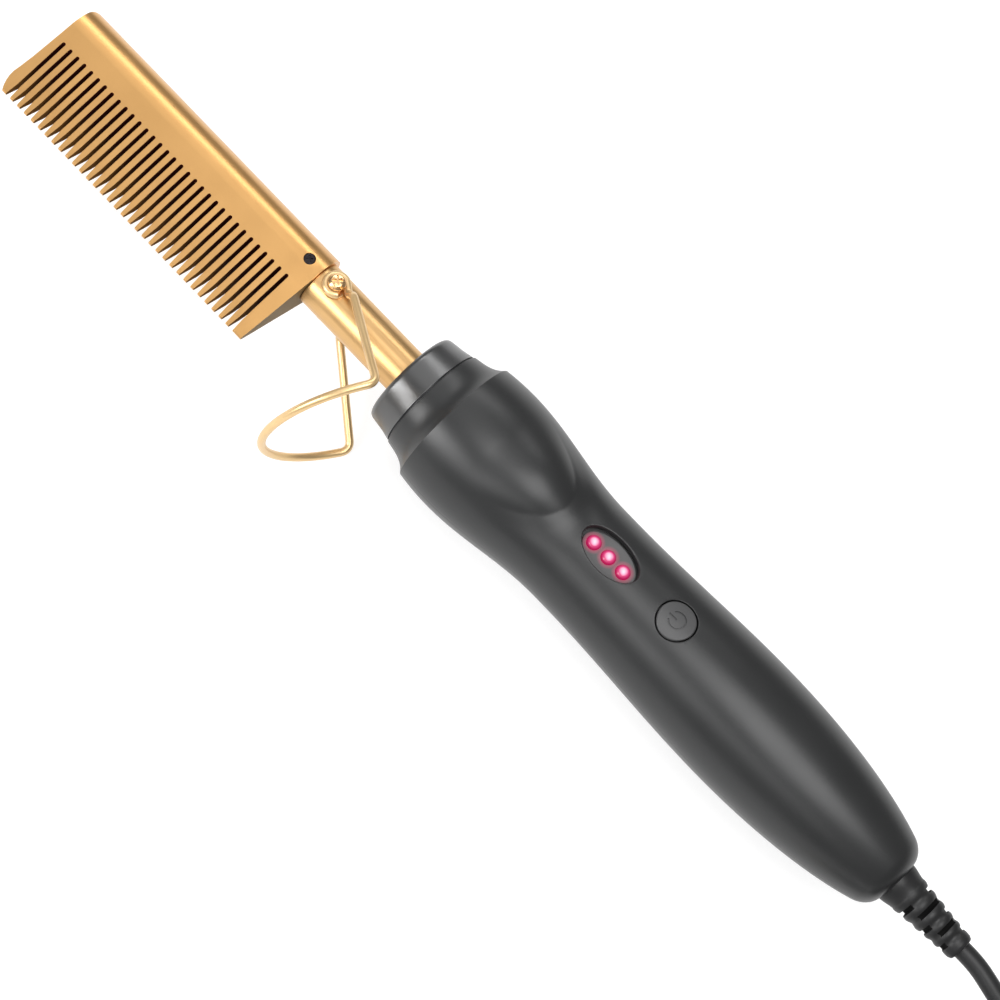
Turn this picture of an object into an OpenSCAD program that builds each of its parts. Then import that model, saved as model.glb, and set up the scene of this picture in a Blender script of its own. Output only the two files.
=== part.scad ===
// Electric hot comb with a folding wire stand, lying on its side with the button uppermost.
// The handle runs along X with the comb tip at -X, the teeth point to -Y and +Z is up.
// Stations along the handle are counted from a datum plane just ahead of the collar.

/* [Comb head] */
// Number of slots between the teeth
slot_count = 33; // [20:1:40]
// Distance from one slot to the next
slot_pitch = 2.5; // [2.2:0.1:3.5]
// Width of each slot
slot_width = 1.0; // [0.6:0.1:1.4]
// Solid length from the neck end to the first slot centre
neck_margin = 5.1; // [3:0.1:10]
// Solid length from the last slot centre to the tip
tip_margin = 4.0; // [3:0.1:10]
// Diameter of the heated barrel
barrel_d = 14.4; // [12:0.1:18]
// Diameter of the heater bore
heater_d = 10.0; // [8:0.1:11]
// Reach of the teeth from the barrel axis
tooth_reach = 24.6; // [18:0.1:32]
// Thickness of the blade at the tooth tips
tip_thickness = 1.0; // [0.6:0.1:2]
// Depth of the slot roots below the barrel axis
root_depth = 6.3; // [5.8:0.1:8]

/* [Neck and pivot] */
// Diameter of the neck tube
neck_d = 12.2; // [10:0.1:15]
// Wall of the neck tube
neck_wall = 1.2; // [0.8:0.1:2]
// Distance from the datum plane to the neck end of the comb
neck_show = 30.3; // [20:0.1:40]
// Distance from the datum plane to the stand pivot
pivot_back = 25.3; // [15:0.1:28]
// Diameter of the pivot screw head
pivot_head_d = 4.6; // [4:0.1:7]

/* [Wire stand] */
// Diameter of the stand wire
wire_d = 2.1; // [1.5:0.1:3]
// Radius of the wire eye at the wire centre
eye_r = 2.6; // [2.2:0.1:4]
// Distance from the pivot to the elbow, seen from above
leg_reach = 31.8; // [25:0.1:40]
// Angle of the leg below the handle axis
leg_angle = 29.9; // [0:0.1:60]
// Half width of the stand where its legs have stepped clear of the pivots
step_half = 13.5; // [11:0.1:16]
// Half width of the stand at its elbows
stand_half = 24.15; // [18:0.05:30]
// Direction of the foot below the handle axis
foot_angle = 118; // [90:0.5:150]
// Straight run before the round foot
foot_straight = 1.15; // [0:0.05:5]

/* [Handle] */
// Station of the front face of the collar
collar_front = 1.85; // [0:0.05:3]
// Station of the rear end of the collar
collar_rear = 9.6; // [7:0.1:14]
// Radius of the front band at the groove
band_r = 14.5; // [12:0.1:17]
// Largest radius of the shoulder
shoulder_r = 18.76; // [16:0.01:22]
// Radius of the waist
waist_r = 15.05; // [13:0.05:18]
// Radius of the belly
belly_r = 16.65; // [14:0.05:20]
// Station of the rear end of the handle
handle_length = 169.6; // [140:0.1:200]
// Wall of the moulded shells
shell_wall = 2.0; // [1.5:0.1:3]
// Height of the tongue at its end
tongue_rise = 1.25; // [0.5:0.05:3]
// Station of the tongue end
tongue_end = 52.8; // [45:0.1:60]

/* [Controls] */
// Station of the window centre
window_x = 68.0; // [60:0.1:75]
// Length of the window
window_length = 17.5; // [12:0.1:22]
// Width of the window
window_width = 9.4; // [7:0.1:12]
// Distance between the lamps
lamp_pitch = 4.9; // [4:0.1:7]
// Lamp diameter
lamp_d = 3.6; // [2:0.1:4]
// Station of the button
button_x = 90.0; // [85:0.1:110]
// Diameter of the button cap
button_d = 9.75; // [8:0.05:14]
// Travel of the button
button_travel = 0.5; // [0.3:0.1:1]

/* [Cord and plug] */
// Diameter of the cord
cord_d = 4.8; // [4:0.1:7]
// Length of the strain relief outside the handle
relief_length = 21.9; // [15:0.1:40]
// Radius of the coil at the middle of its turns
coil_mean_r = 26.8; // [24:0.05:40]
// Spacing of the turns side by side and one on another
turn_pitch = 4.9; // [4.8:0.05:6]
// Width of the plug body
plug_width = 22; // [20:1:30]
// Height of the plug body
plug_height = 15; // [12:1:20]

/* [Hidden] */
$fn = 64;

// ---- derived sizes ----
comb_neck_x = -neck_show;
comb_tip_x = comb_neck_x - neck_margin - (slot_count - 1) * slot_pitch - tip_margin;
barrel_r = barrel_d / 2;
heater_r = heater_d / 2;
tip_wall = 4.8;
spigot_length = 10;
heater_end_x = comb_tip_x + tip_wall + 0.6;
heater_start_x = comb_neck_x - spigot_length - 1.7;
stack_half = 1.15;
strip_t = 0.3;
sensor_z = heater_r * 0.6;
wedge_angle = atan2(tooth_reach, tip_thickness / 2)
    - acos(barrel_r / norm([tooth_reach, tip_thickness / 2]));
comb_screw_x = comb_neck_x - spigot_length * 0.43;
screw_seat = 0.9;
set_head_r = 1.45;
set_shank_r = 0.85;

neck_r = neck_d / 2;
neck_inner_r = neck_r - neck_wall;
spigot_x = comb_neck_x - spigot_length;
spigot_r = heater_r - 0.02;
band_length = 7.85;
crease_length = 0.3;
trap_wall = 2.25;
flange_t = 2;
flange_r = neck_r + 3.3;
flange_x = [collar_rear + 3.4, collar_rear + 3.4 + flange_t];
trap_gap = 0.05;
trap_end_x = flange_x[1] + trap_gap + trap_wall;
neck_rear_x = flange_x[1] + 9;

pivot_x = -pivot_back;
washer_t = 0.5;
washer_r = 3.0;
washer_top = neck_r + washer_t;
wire_r = wire_d / 2;
pivot_thread_r = 1.0;
pivot_shoulder_r = eye_r - wire_r - 0.05;
pivot_head_r = pivot_head_d / 2;
eye_z = washer_top + 0.25 + wire_r;
head_z = eye_z + wire_r + 0.25;

relief_end_x = handle_length + relief_length;
collar_web_x = collar_front + 2.2;
shell_front_x = collar_web_x + 0.3;
shell_spigot_r = band_r - 2.9;
groove_width = 0.35;
groove_depth = 0.6;
band_x = collar_rear + groove_width;
crease_x = [band_x + band_length, band_x + band_length + crease_length];
crease_rise = [3.0, 3.15];
flare_power = 1.8;
shoulder_x = collar_rear + 16.4;
shoulder_drop = 1.9;
shoulder_run = 9.79;
waist_x = [collar_rear + 52.4, collar_rear + 56.4];
belly_x = handle_length - 52.6;
tail_cut = 0.8416;
tail_span = (handle_length - belly_x) / tail_cut;
round_length = 4.2;
round_depth = 3.0;
round_x = handle_length - round_length;

// rear of the handle: end wall, relief flange and inner wall, counted from the rear end
end_wall_x = handle_length - 4.0;
relief_flange_t = 2.4;
relief_flange_x = [end_wall_x - 0.2 - relief_flange_t, end_wall_x - 0.2];
inner_wall_t = 2.3;
inner_wall_x = [relief_flange_x[0] - 0.2 - inner_wall_t, relief_flange_x[0] - 0.2];
relief_start_x = inner_wall_x[0] - 0.5;
relief_hole_r = 5.8;
relief_r0 = relief_hole_r - 0.15;
relief_flange_r = relief_r0 + 1.35;

board_t = 1.6;
board_z = 2.2;
board_x = [waist_x[0] - 10, handle_length - 37.6];
board_top = board_z + board_t;
board_half = 9;
board_post_x = [waist_x[1], board_x[1] - 6];
board_post_y = 7;
board_post_r = 1.9;
board_pin_r = 0.8;
press_post_x = [window_x + window_length * 0.8, board_x[1] - 10];
press_post_r = 1.5;
shell_screw_x = [shoulder_x + 18, handle_length - 27.6];
boss_r = 4.2;
top_boss_r = 3.2;
shell_head_r = 2.6;
shell_shank_r = 1.35;
shell_thread_r = 1.18;
shell_seat_z = -6;
clamp_length = 6;
clamp_half = 8.4;
clamp_height = 4;
clamp_screw_y = 6;
clamp_x = [relief_start_x - 2.5 - clamp_length, relief_start_x - 2.5];
clamp_mid_x = (clamp_x[0] + clamp_x[1]) / 2;
window_floor_z = waist_r - 1.65;
cord_r = cord_d / 2;
cord_start_x = clamp_x[0] - 1.5;

// ---- place in the shared frame ----
bend_point = [pivot_x + leg_reach * cos(leg_angle), -leg_reach * sin(leg_angle)];
foot_depth = foot_straight + stand_half;
lowest_y = bend_point[1] - foot_depth * sin(foot_angle) - wire_r;
frame_x = -(comb_tip_x + relief_end_x) / 2;
frame_y = -(lowest_y + shoulder_r) / 2;
frame_z = stand_half + wire_r;

module place() translate([frame_x, frame_y, frame_z]) children();

// ---- shared shapes ----
function ease(t) = (1 - cos(180 * t)) / 2;
function unit(v) = v / norm(v);

module revolve_x() rotate([0, 90, 0]) rotate_extrude() children();

module rod_x(x0, x1, r) translate([x0, 0, 0]) rotate([0, 90, 0]) cylinder(h = x1 - x0, r = r);

module rod_x_at(x0, x1, y, z, r) translate([0, y, z]) rod_x(x0, x1, r);

module rod_z(x, y, z0, z1, r) translate([x, y, z0]) cylinder(h = z1 - z0, r = r);

module along_x(x0, x1) translate([x0, 0, 0]) rotate([90, 0, 90]) linear_extrude(height = x1 - x0) children();

module box(low, high) translate(low) cube(high - low);

// Round bar swept along a path; the ring frame is carried from point to point without twist
function path_dir(p, i) = i == 0 ? unit(p[1] - p[0])
    : i == len(p) - 1 ? unit(p[i] - p[i - 1])
    : unit(unit(p[i + 1] - p[i]) + unit(p[i] - p[i - 1]));
function first_normal(d) = unit(cross(d, abs(d[2]) < 0.9 ? [0, 0, 1] : [0, 1, 0]));
function carried(p, i, n) = let (d = path_dir(p, i)) unit(n - (n * d) * d);
function normals(p, i = 0, found = []) = i == len(p) ? found
    : normals(p, i + 1, concat(found, [i == 0 ? first_normal(path_dir(p, 0)) : carried(p, i, found[i - 1])]));
function ring(c, d, n, r, sides) = let (b = cross(d, n))
    [for (k = [0:sides - 1]) c + r * (cos(360 * k / sides) * n + sin(360 * k / sides) * b)];

module swept(path, r, sides) {
    n = normals(path);
    last = len(path) - 1;
    rings = [for (i = [0:last]) each ring(path[i], path_dir(path, i), n[i], r, sides)];
    walls = [for (i = [0:last - 1]) for (k = [0:sides - 1]) let (m = (k + 1) % sides)
        each [
            [i * sides + k, i * sides + m, (i + 1) * sides + m],
            [i * sides + k, (i + 1) * sides + m, (i + 1) * sides + k]
        ]];
    start_cap = [for (k = [1:sides - 2]) [0, k + 1, k]];
    end_cap = [for (k = [1:sides - 2]) [last * sides, last * sides + k, last * sides + k + 1]];
    polyhedron(points = rings, faces = [for (f = concat(walls, start_cap, end_cap)) [f[0], f[2], f[1]]]);
}

// ---- comb head ----
// Half thickness of the wedge at a depth below the barrel axis
function wedge_half(depth) = (barrel_r - 0.03 - depth * sin(wedge_angle)) / cos(wedge_angle);

module comb_section() {
    tip_half = wedge_half(tooth_reach);
    circle(r = barrel_r, $fn = 96);
    polygon([
        [0, 4], [-sin(wedge_angle) * barrel_r, wedge_half(sin(wedge_angle) * barrel_r)],
        [-tooth_reach + 0.5, wedge_half(tooth_reach - 0.5)], [-tooth_reach, tip_half - 0.2],
        [-tooth_reach, -tip_half + 0.2], [-tooth_reach + 0.5, -wedge_half(tooth_reach - 0.5)],
        [-sin(wedge_angle) * barrel_r, -wedge_half(sin(wedge_angle) * barrel_r)], [0, -4]
    ]);
}

// One slot seen from above: straight sides, a round root and a flare that thins the tooth tips
function slot_outline(x) = let (h = slot_width / 2, flare = 0.25, flare_y = -tooth_reach + 3.5)
    concat(
        [[x - h - flare, -tooth_reach - 1], [x - h - flare, -tooth_reach], [x - h, flare_y]],
        [for (a = [180:-30:0]) [x + h * cos(a), -root_depth - h + h * sin(a)]],
        [[x + h, flare_y], [x + h + flare, -tooth_reach], [x + h + flare, -tooth_reach - 1]]
    );

// Outline from above: tip edge with a shallow bulge, slots, and the slanted neck edge
module comb_plan() {
    corner_r = 2;
    polygon(concat(
        [[comb_neck_x, barrel_r + 1], [comb_tip_x + corner_r, barrel_r + 1]],
        [for (a = [75:15:180 - 15]) if (a >= 105)
            [comb_tip_x + corner_r + corner_r * cos(a), barrel_r - corner_r + corner_r * sin(a)]],
        [[comb_tip_x, 3], [comb_tip_x + 1.0, -5], [comb_tip_x + 1.6, -10], [comb_tip_x + 1.3, -15]],
        [[comb_tip_x + 0.5, -18.8], [comb_tip_x + 0.9, -21.4], [comb_tip_x + 1.7, -23.4]],
        [[comb_tip_x + 2.4, -tooth_reach - 1]],
        [for (i = [0:slot_count - 1]) each slot_outline(comb_tip_x + tip_margin + i * slot_pitch)],
        [[comb_neck_x - 1.6, -tooth_reach - 1], [comb_neck_x - 1.3, -22], [comb_neck_x, -3]]
    ));
}

module comb_head() color("goldenrod") place() difference() {
    intersection() {
        along_x(comb_tip_x - 1, comb_neck_x) comb_section();
        translate([0, 0, -barrel_r - 1]) linear_extrude(height = barrel_d + 2) comb_plan();
    }
    rod_x(comb_tip_x + tip_wall, comb_neck_x + 1, heater_r);
    for (s = [-1, 1]) mirror([0, 0, s < 0 ? 1 : 0]) {
        rod_z(comb_screw_x, 0, 0, barrel_r + 1, set_shank_r + 0.1);
        rod_z(comb_screw_x, 0, barrel_r - screw_seat, barrel_r + 1, set_head_r + 0.1);
    }
}

module heater_spreader() color("silver") place() for (s = [0, 1]) mirror([0, 0, s]) difference() {
    rod_x(heater_end_x, heater_start_x, heater_r - 0.05);
    box([heater_end_x - 1, -heater_r, -heater_r], [heater_start_x + 1, heater_r, stack_half + strip_t]);
    rod_x_at(heater_start_x - sensor_length[1] - 2, heater_start_x + 1, 0, sensor_z, sensor_r + 0.05);
}

sensor_length = [9, 12];
sensor_r = 0.95;
tile_count = 3;
tile_gap = 1;
tile_half = 3.25;
tile_pitch = (heater_start_x - heater_end_x - tile_gap) / tile_count;

module ptc_tiles() color("dimgray") place() for (i = [0:tile_count - 1])
    box([heater_end_x + tile_gap + i * tile_pitch, -tile_half, -stack_half],
        [heater_end_x + (i + 1) * tile_pitch, tile_half, stack_half]);

module electrode_plates() color("peru") place() for (s = [0, 1]) mirror([0, 0, s])
    box([heater_end_x, -tile_half - 0.25, stack_half],
        [heater_start_x, tile_half + 0.25, stack_half + strip_t]);

module thermistor() color("black") place()
    rod_x_at(heater_start_x - sensor_length[0], heater_start_x, 0, sensor_z, sensor_r);

module thermal_fuse() color("white") place()
    rod_x_at(heater_start_x - sensor_length[1], heater_start_x, 0, -sensor_z, sensor_r);

module comb_screws() color("black") place() for (s = [0, 1]) mirror([0, 0, s]) difference() {
    union() {
        rod_z(comb_screw_x, 0, barrel_r - screw_seat, barrel_r - 0.05, set_head_r);
        rod_z(comb_screw_x, 0, spigot_r - neck_wall + 0.2, barrel_r - screw_seat, set_shank_r);
    }
    cross_recess(comb_screw_x, barrel_r - 0.5, set_head_r * 1.2, 0.4);
}

module cross_recess(x, z, length, width) translate([x, 0, z]) for (a = [45, 135]) rotate([0, 0, a])
    translate([-length / 2, -width / 2, 0]) cube([length, width, 3]);

// ---- neck and pivot ----
module neck_tube() color("goldenrod") place() difference() {
    revolve_x() polygon([
        [spigot_r - neck_wall, spigot_x], [spigot_r, spigot_x], [spigot_r, comb_neck_x],
        [neck_r, comb_neck_x], [neck_r, flange_x[0]], [flange_r, flange_x[0]],
        [flange_r, flange_x[1]], [neck_r, flange_x[1]], [neck_r, neck_rear_x],
        [neck_inner_r, neck_rear_x], [neck_inner_r, comb_neck_x + neck_wall * 1.5],
        [spigot_r - neck_wall, comb_neck_x + neck_wall * 1.5]
    ]);
    rod_z(pivot_x, 0, -neck_r - 1, neck_r + 1, pivot_thread_r + 0.02);
    rod_z(comb_screw_x, 0, -heater_r, heater_r, set_shank_r + 0.02);
}

module pivot_screws() color("goldenrod") place() for (s = [0, 1]) mirror([0, 0, s]) difference() {
    translate([pivot_x, 0, 0]) rotate_extrude() polygon([
        [0, neck_inner_r - 0.7], [pivot_thread_r, neck_inner_r - 0.7], [pivot_thread_r, washer_top],
        [pivot_shoulder_r, washer_top], [pivot_shoulder_r, head_z], [pivot_head_r, head_z],
        [pivot_head_r, head_z + 0.7], [pivot_head_r - 0.3, head_z + 1.25],
        [pivot_head_r / 2, head_z + 1.6], [0, head_z + 1.7]
    ]);
    cross_recess(pivot_x, head_z + 0.8, pivot_head_r * 1.13, 0.6);
}

module pivot_washers() color("goldenrod") place() for (s = [0, 1]) mirror([0, 0, s]) difference() {
    rod_z(pivot_x, 0, neck_inner_r, washer_top, washer_r);
    rod_x(pivot_x - washer_r - 1, pivot_x + washer_r + 1, neck_r);
    rod_z(pivot_x, 0, 0, washer_top + 1, pivot_thread_r + 0.1);
}

// ---- wire stand ----
leave_angle = leg_angle + asin(eye_r / leg_reach);
leave_turn = 90 - leave_angle;
eye_wrap = 270;
leg_dir = [cos(leave_angle), -sin(leave_angle), 0];
foot_dir = [cos(foot_angle), -sin(foot_angle), 0];
elbow = [bend_point[0], bend_point[1], stand_half];
leave_point = [pivot_x + eye_r * cos(leave_turn), eye_r * sin(leave_turn), eye_z];
flat_run = 2.9;
step_run = 2.6;
step_cut = 1.1;
step_foot = leave_point + flat_run * leg_dir;
step_top = leave_point + (flat_run + step_run) * leg_dir + [0, 0, step_half - eye_z];
step_dir = unit(step_top - step_foot);
rise_dir = unit(elbow - step_top);
elbow_cut = 2.6;

function foot_point(b) = elbow + foot_straight * foot_dir
    + stand_half * (sin(b) * foot_dir + (cos(b) - 1) * [0, 0, 1]);
function rounded(a, c, b, steps) = [for (i = [0:steps]) let (t = i / steps)
    (1 - t) * (1 - t) * a + 2 * t * (1 - t) * c + t * t * b];

half_stand = concat(
    [for (a = [eye_wrap:-15:0])
        [pivot_x + eye_r * cos(leave_turn + a), eye_r * sin(leave_turn + a), eye_z]],
    rounded(step_foot - step_cut * leg_dir, step_foot, step_foot + step_cut * step_dir, 3),
    rounded(step_top - step_cut * step_dir, step_top, step_top + step_cut * rise_dir, 3),
    rounded(elbow - elbow_cut * rise_dir, elbow, foot_point(3.4), 6),
    [for (b = [10:8:82]) foot_point(b)]
);
function mirrored(p) = [for (i = [len(p) - 1:-1:0]) [p[i][0], p[i][1], -p[i][2]]];

module wire_stand() color("gold") place()
    swept(concat(half_stand, [foot_point(90)], mirrored(half_stand)), wire_r, 14);

// ---- handle surface ----
function shoulder_dome(x) = shoulder_r
    - shoulder_drop * (1 - sqrt(max(0, 1 - pow((shoulder_x + 1 - x) / shoulder_run, 2))));
function belly_tail(x) = belly_r * sqrt(1 - pow((x - belly_x) / tail_span, 2));
function end_round(x) = x < round_x ? 0
    : round_depth * (1 - sqrt(max(0, 1 - pow((x - round_x) / round_length, 2))));
function handle_r(x) =
    x <= crease_x[0] ? band_r + crease_rise[0] * pow(max(0, x - band_x) / band_length, flare_power)
    : x < crease_x[1] ? band_r + crease_rise[0]
        + (crease_rise[1] - crease_rise[0]) * (x - crease_x[0]) / crease_length
    : x < shoulder_x ? shoulder_dome(x)
    : x < waist_x[0] ? shoulder_r
        + (waist_r - shoulder_r) * ease((x - shoulder_x) / (waist_x[0] - shoulder_x))
    : x < waist_x[1] ? waist_r
    : x < belly_x ? waist_r + (belly_r - waist_r) * ease((x - waist_x[1]) / (belly_x - waist_x[1]))
    : belly_tail(x) - end_round(x);

function steps(a, b, n) = [for (i = [0:n - 1]) a + (b - a) * i / n];
handle_stations = concat(
    steps(band_x, crease_x[0], 5), steps(crease_x[0], crease_x[1], 1),
    [for (t = [0, 0.08, 0.2, 0.4, 0.68]) crease_x[1] + t * (shoulder_x - crease_x[1])],
    steps(shoulder_x, waist_x[0], 9), steps(waist_x[0], waist_x[1], 1),
    steps(waist_x[1], belly_x, 8), steps(belly_x, round_x, 9),
    [for (t = [0, 0.35, 0.65, 0.88, 1]) round_x + t * round_length]
);
inner_stations = [for (x = handle_stations) if (x > trap_end_x && x < end_wall_x) x];
module handle_solid() revolve_x() polygon(concat(
    [[0, shell_front_x], [shell_spigot_r, shell_front_x], [shell_spigot_r, collar_rear]],
    [[band_r - groove_depth, collar_rear], [band_r - groove_depth, band_x]],
    [for (x = handle_stations) [handle_r(x), x]],
    [[0, handle_length]]
));

module handle_cavity() revolve_x() polygon(concat(
    [[0, shell_front_x - 1], [shell_spigot_r - shell_wall, shell_front_x - 1]],
    [[shell_spigot_r - shell_wall, flange_x[0] - shell_wall], [band_r - 1.3, flange_x[0] - shell_wall]],
    [[band_r - 0.1, trap_end_x]],
    [for (x = inner_stations) [handle_r(x) - shell_wall, x]],
    [[handle_r(round_x) - shell_wall, end_wall_x], [relief_hole_r, end_wall_x]],
    [[relief_hole_r, handle_length + 1], [0, handle_length + 1]]
));

// Raised tongue left by the finger hollows on both sides, with its own flatter cross curve
module tongue() {
    drop = band_r / 3;
    start = shoulder_x + 5;
    span = tongue_end - start;
    shares = [0, 0.16, 0.31, 0.47, 0.62, 0.73, 0.83, 0.93, 1, 1.09];
    rises = [-0.3, 0.1, 0.5, 0.9, 1.0, 0.85, 0.6, 0.25, 0, -0.5];
    intersection() {
        translate([0, 0, drop]) revolve_x() polygon(concat(
            [[0, start]],
            [for (i = [0:len(shares) - 1]) let (x = start + shares[i] * span)
                [handle_r(x) - drop + rises[i] * tongue_rise, x]],
            [[0, start + 1.09 * span]]
        ));
        box([start - 1, -band_r, band_r / 2], [tongue_end + 3, band_r, shoulder_r + 5]);
    }
}

far = 2 * shoulder_r;
module half_space(s) box([-far, -far, s > 0 ? 0 : -far], [relief_end_x, far, s > 0 ? far : 0]);

module seam_ring(inner, outer, z0, z1) intersection() {
    difference() {
        revolve_x() polygon(seam_band(outer));
        revolve_x() polygon(seam_band(inner));
    }
    box([collar_rear, -far, z0], [end_wall_x, far, z1]);
}
seam_stations = [for (x = inner_stations) if (x > trap_end_x + 1 && x < clamp_x[1] - 0.5) x];
function seam_band(extra) = let (xs = seam_stations)
    concat([[0, xs[0]]], [for (x = xs) [handle_r(x) - shell_wall + extra, x]], [[0, xs[len(xs) - 1]]]);

module wall_disc(x0, x1, bore_r) difference() {
    rod_x(x0, x1, far);
    rod_x(x0 - 1, x1 + 1, bore_r);
}

// Parts common to both halves: neck walls, relief wall and the tongue
module half_shell(s) {
    difference() {
        union() {
            difference() {
                union() {
                    handle_solid();
                    mirror([0, 0, s > 0 ? 0 : 1]) tongue();
                }
                handle_cavity();
            }
            intersection() {
                handle_solid();
                union() {
                    wall_disc(flange_x[0] - trap_gap - trap_wall, flange_x[0] - trap_gap, neck_r + 0.1);
                    wall_disc(flange_x[1] + trap_gap, trap_end_x, neck_r + 0.1);
                    wall_disc(inner_wall_x[0], inner_wall_x[1], relief_hole_r);
                }
            }
        }
        half_space(-s);
    }
}

module upper_shell() color("dimgray") place() difference() {
    union() {
        half_shell(1);
        intersection() {
            handle_solid();
            union() {
                for (x = shell_screw_x) rod_z(x, 0, 0, far, top_boss_r);
                for (x = press_post_x) for (y = [-1, 1])
                    rod_z(x, y * board_post_y, board_top, far, press_post_r);
            }
        }
    }
    for (x = shell_screw_x) rod_z(x, 0, -1, -shell_seat_z + 2, shell_thread_r + 0.02);
    seam_ring(-0.4, lip_t + 0.3, -1, lip_height + 0.15);
    window_prism(window_length, window_width, window_floor_z - 4, far);
    rod_z(button_x, 0, window_floor_z - 4, far, button_d / 2 + 0.22);
}

module window_prism(length, width, z0, z1) translate([window_x, 0, z0]) linear_extrude(height = z1 - z0)
    polygon([for (a = [0:7.5:352.5]) [length / 2 * cos(a), width / 2 * sin(a)]]);

lip_t = 0.85;
lip_height = 0.85;

module lower_shell() color("dimgray") place() difference() {
    union() {
        half_shell(-1);
        seam_ring(0.15, lip_t + 0.15, -0.9, lip_height);
        intersection() {
            handle_solid();
            union() {
                for (x = shell_screw_x) rod_z(x, 0, -far, 0, boss_r);
                for (x = board_post_x) for (y = [-1, 1]) {
                    rod_z(x, y * board_post_y, -far, board_z, board_post_r);
                    rod_z(x, y * board_post_y, 0, board_top + 0.5, board_pin_r);
                }
                box([clamp_x[0], -clamp_half, -far], [clamp_x[1], clamp_half, 0]);
            }
        }
    }
    for (x = shell_screw_x) {
        rod_z(x, 0, -far, 1, shell_shank_r + 0.1);
        rod_z(x, 0, -far, shell_seat_z, shell_head_r + 0.3);
    }
    rod_x(clamp_x[0] - 2, clamp_x[1] + 2, cord_r + 0.02);
    for (y = [-1, 1]) rod_z(clamp_mid_x, y * clamp_screw_y, -clamp_height - 2, 1, clamp_thread_r + 0.02);
}

// Front collar with a rounded edge, pushed over the front spigot of the shells
module front_collar() color("dimgray") place() difference() {
    revolve_x() polygon([
        [0, collar_front], [band_r - 2.9, collar_front], [band_r - 2.0, collar_front + 0.25],
        [band_r - 1.5, collar_front + 0.8], [band_r - 1.25, collar_front + 1.6],
        [band_r - 0.7, collar_rear - 2.8], [band_r - 0.1, collar_rear], [0, collar_rear]
    ]);
    rod_x(-1, shell_front_x + 0.5, neck_r + 0.2);
    rod_x(collar_web_x, collar_rear + 1, shell_spigot_r + 0.05);
}

module shell_screws() color("silver") place() for (x = shell_screw_x) difference() {
    translate([x, 0, 0]) rotate_extrude() polygon([
        [0, shell_seat_z - 1.8], [shell_head_r - 1, shell_seat_z - 1.8], [shell_head_r, shell_seat_z - 1.2],
        [shell_head_r, shell_seat_z], [shell_shank_r, shell_seat_z], [shell_shank_r, -0.2],
        [shell_thread_r, 0], [shell_thread_r, -shell_seat_z + 1], [0, -shell_seat_z + 1.6]
    ]);
    mirror([0, 0, 1]) cross_recess(x, -shell_seat_z + 1, shell_head_r, 0.6);
}

// ---- controls ----
module indicator_plate() color("black") place() difference() {
    union() {
        window_prism(window_length - 0.3, window_width - 0.3, window_floor_z - 2, window_floor_z);
        window_prism(window_length + 3, window_width + 1.2, window_floor_z - 2.8, window_floor_z - 1.8);
    }
    for (i = [-1:1])
        rod_z(window_x + i * lamp_pitch, lamp_y, window_floor_z - 4, window_floor_z + 1, lamp_d / 2 + 0.1);
}
lamp_y = -0.3;
lamp_flange_r = lamp_d / 2 + 0.35;
lamp_base_z = window_floor_z - 5.4;
lamp_dome = 1.1;

module led_lamps() color("deeppink") place() {
    for (i = [-1:1]) translate([window_x + i * lamp_pitch, lamp_y, 0])
        rotate_extrude($fn = 32) polygon(concat(
            [[0, lamp_base_z], [lamp_flange_r, lamp_base_z], [lamp_flange_r, lamp_base_z + 1]],
            [[lamp_d / 2, lamp_base_z + 1]],
            [for (a = [0:15:90])
                [lamp_d / 2 * cos(a), window_floor_z - 0.6 + lamp_dome * sin(a)]]
        ));
    pins(lamp_pins, lamp_base_z + 0.1);
}

// Button cap that follows the handle surface, with a flange that stops it falling out
module power_button() color("dimgray") place() difference() {
    union() {
        intersection() {
            rod_z(button_x, 0, button_flange_z + 0.5, far, button_d / 2);
            handle_solid();
        }
        rod_z(button_x, 0, button_flange_z, button_flange_z + 1, button_d / 2 + 0.8);
        rod_z(button_x, 0, plunger_top, button_flange_z + 0.1, stem_r);
    }
    power_mark();
}
button_flange_z = handle_r(button_x) - shell_wall - 2.6;
stem_r = 2;
switch_half = 3;
switch_top = board_top + 3.4;
plunger_r = 1.7;
plunger_top = switch_top + 1.7;

// Plain on and off mark: a broken ring with a bar in the gap
module power_mark() translate([button_x, 0, handle_r(button_x) - 0.4]) rotate([0, 0, 90]) {
    difference() {
        cylinder(h = 2, r = 2.35, $fn = 48);
        translate([0, 0, -1]) cylinder(h = 4, r = 1.9, $fn = 48);
        translate([-0.8, 0, -1]) cube([1.6, 4, 4]);
    }
    translate([-0.22, 0.2, 0]) cube([0.44, 2.3, 2]);
}

module switch_plunger() color("white") place()
    rod_z(button_x, 0, switch_top - 1.2, plunger_top, plunger_r);

module tact_switch() color("black") place() difference() {
    box([button_x - switch_half, -switch_half, board_top], [button_x + switch_half, switch_half, switch_top]);
    rod_z(button_x, 0, switch_top - 1.5 - button_travel, switch_top + 1, plunger_r + 0.08);
}

module circuit_board() color("green") place() difference() {
    box([board_x[0], -board_half, board_z], [board_x[1], board_half, board_top]);
    for (x = board_post_x) for (y = [-1, 1])
        rod_z(x, y * board_post_y, board_z - 1, board_top + 1, board_pin_r + 0.1);
    for (p = pin_places) rod_z(p[0], p[1], board_z - 1, board_top + 1, pin_r + 0.15);
}

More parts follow.
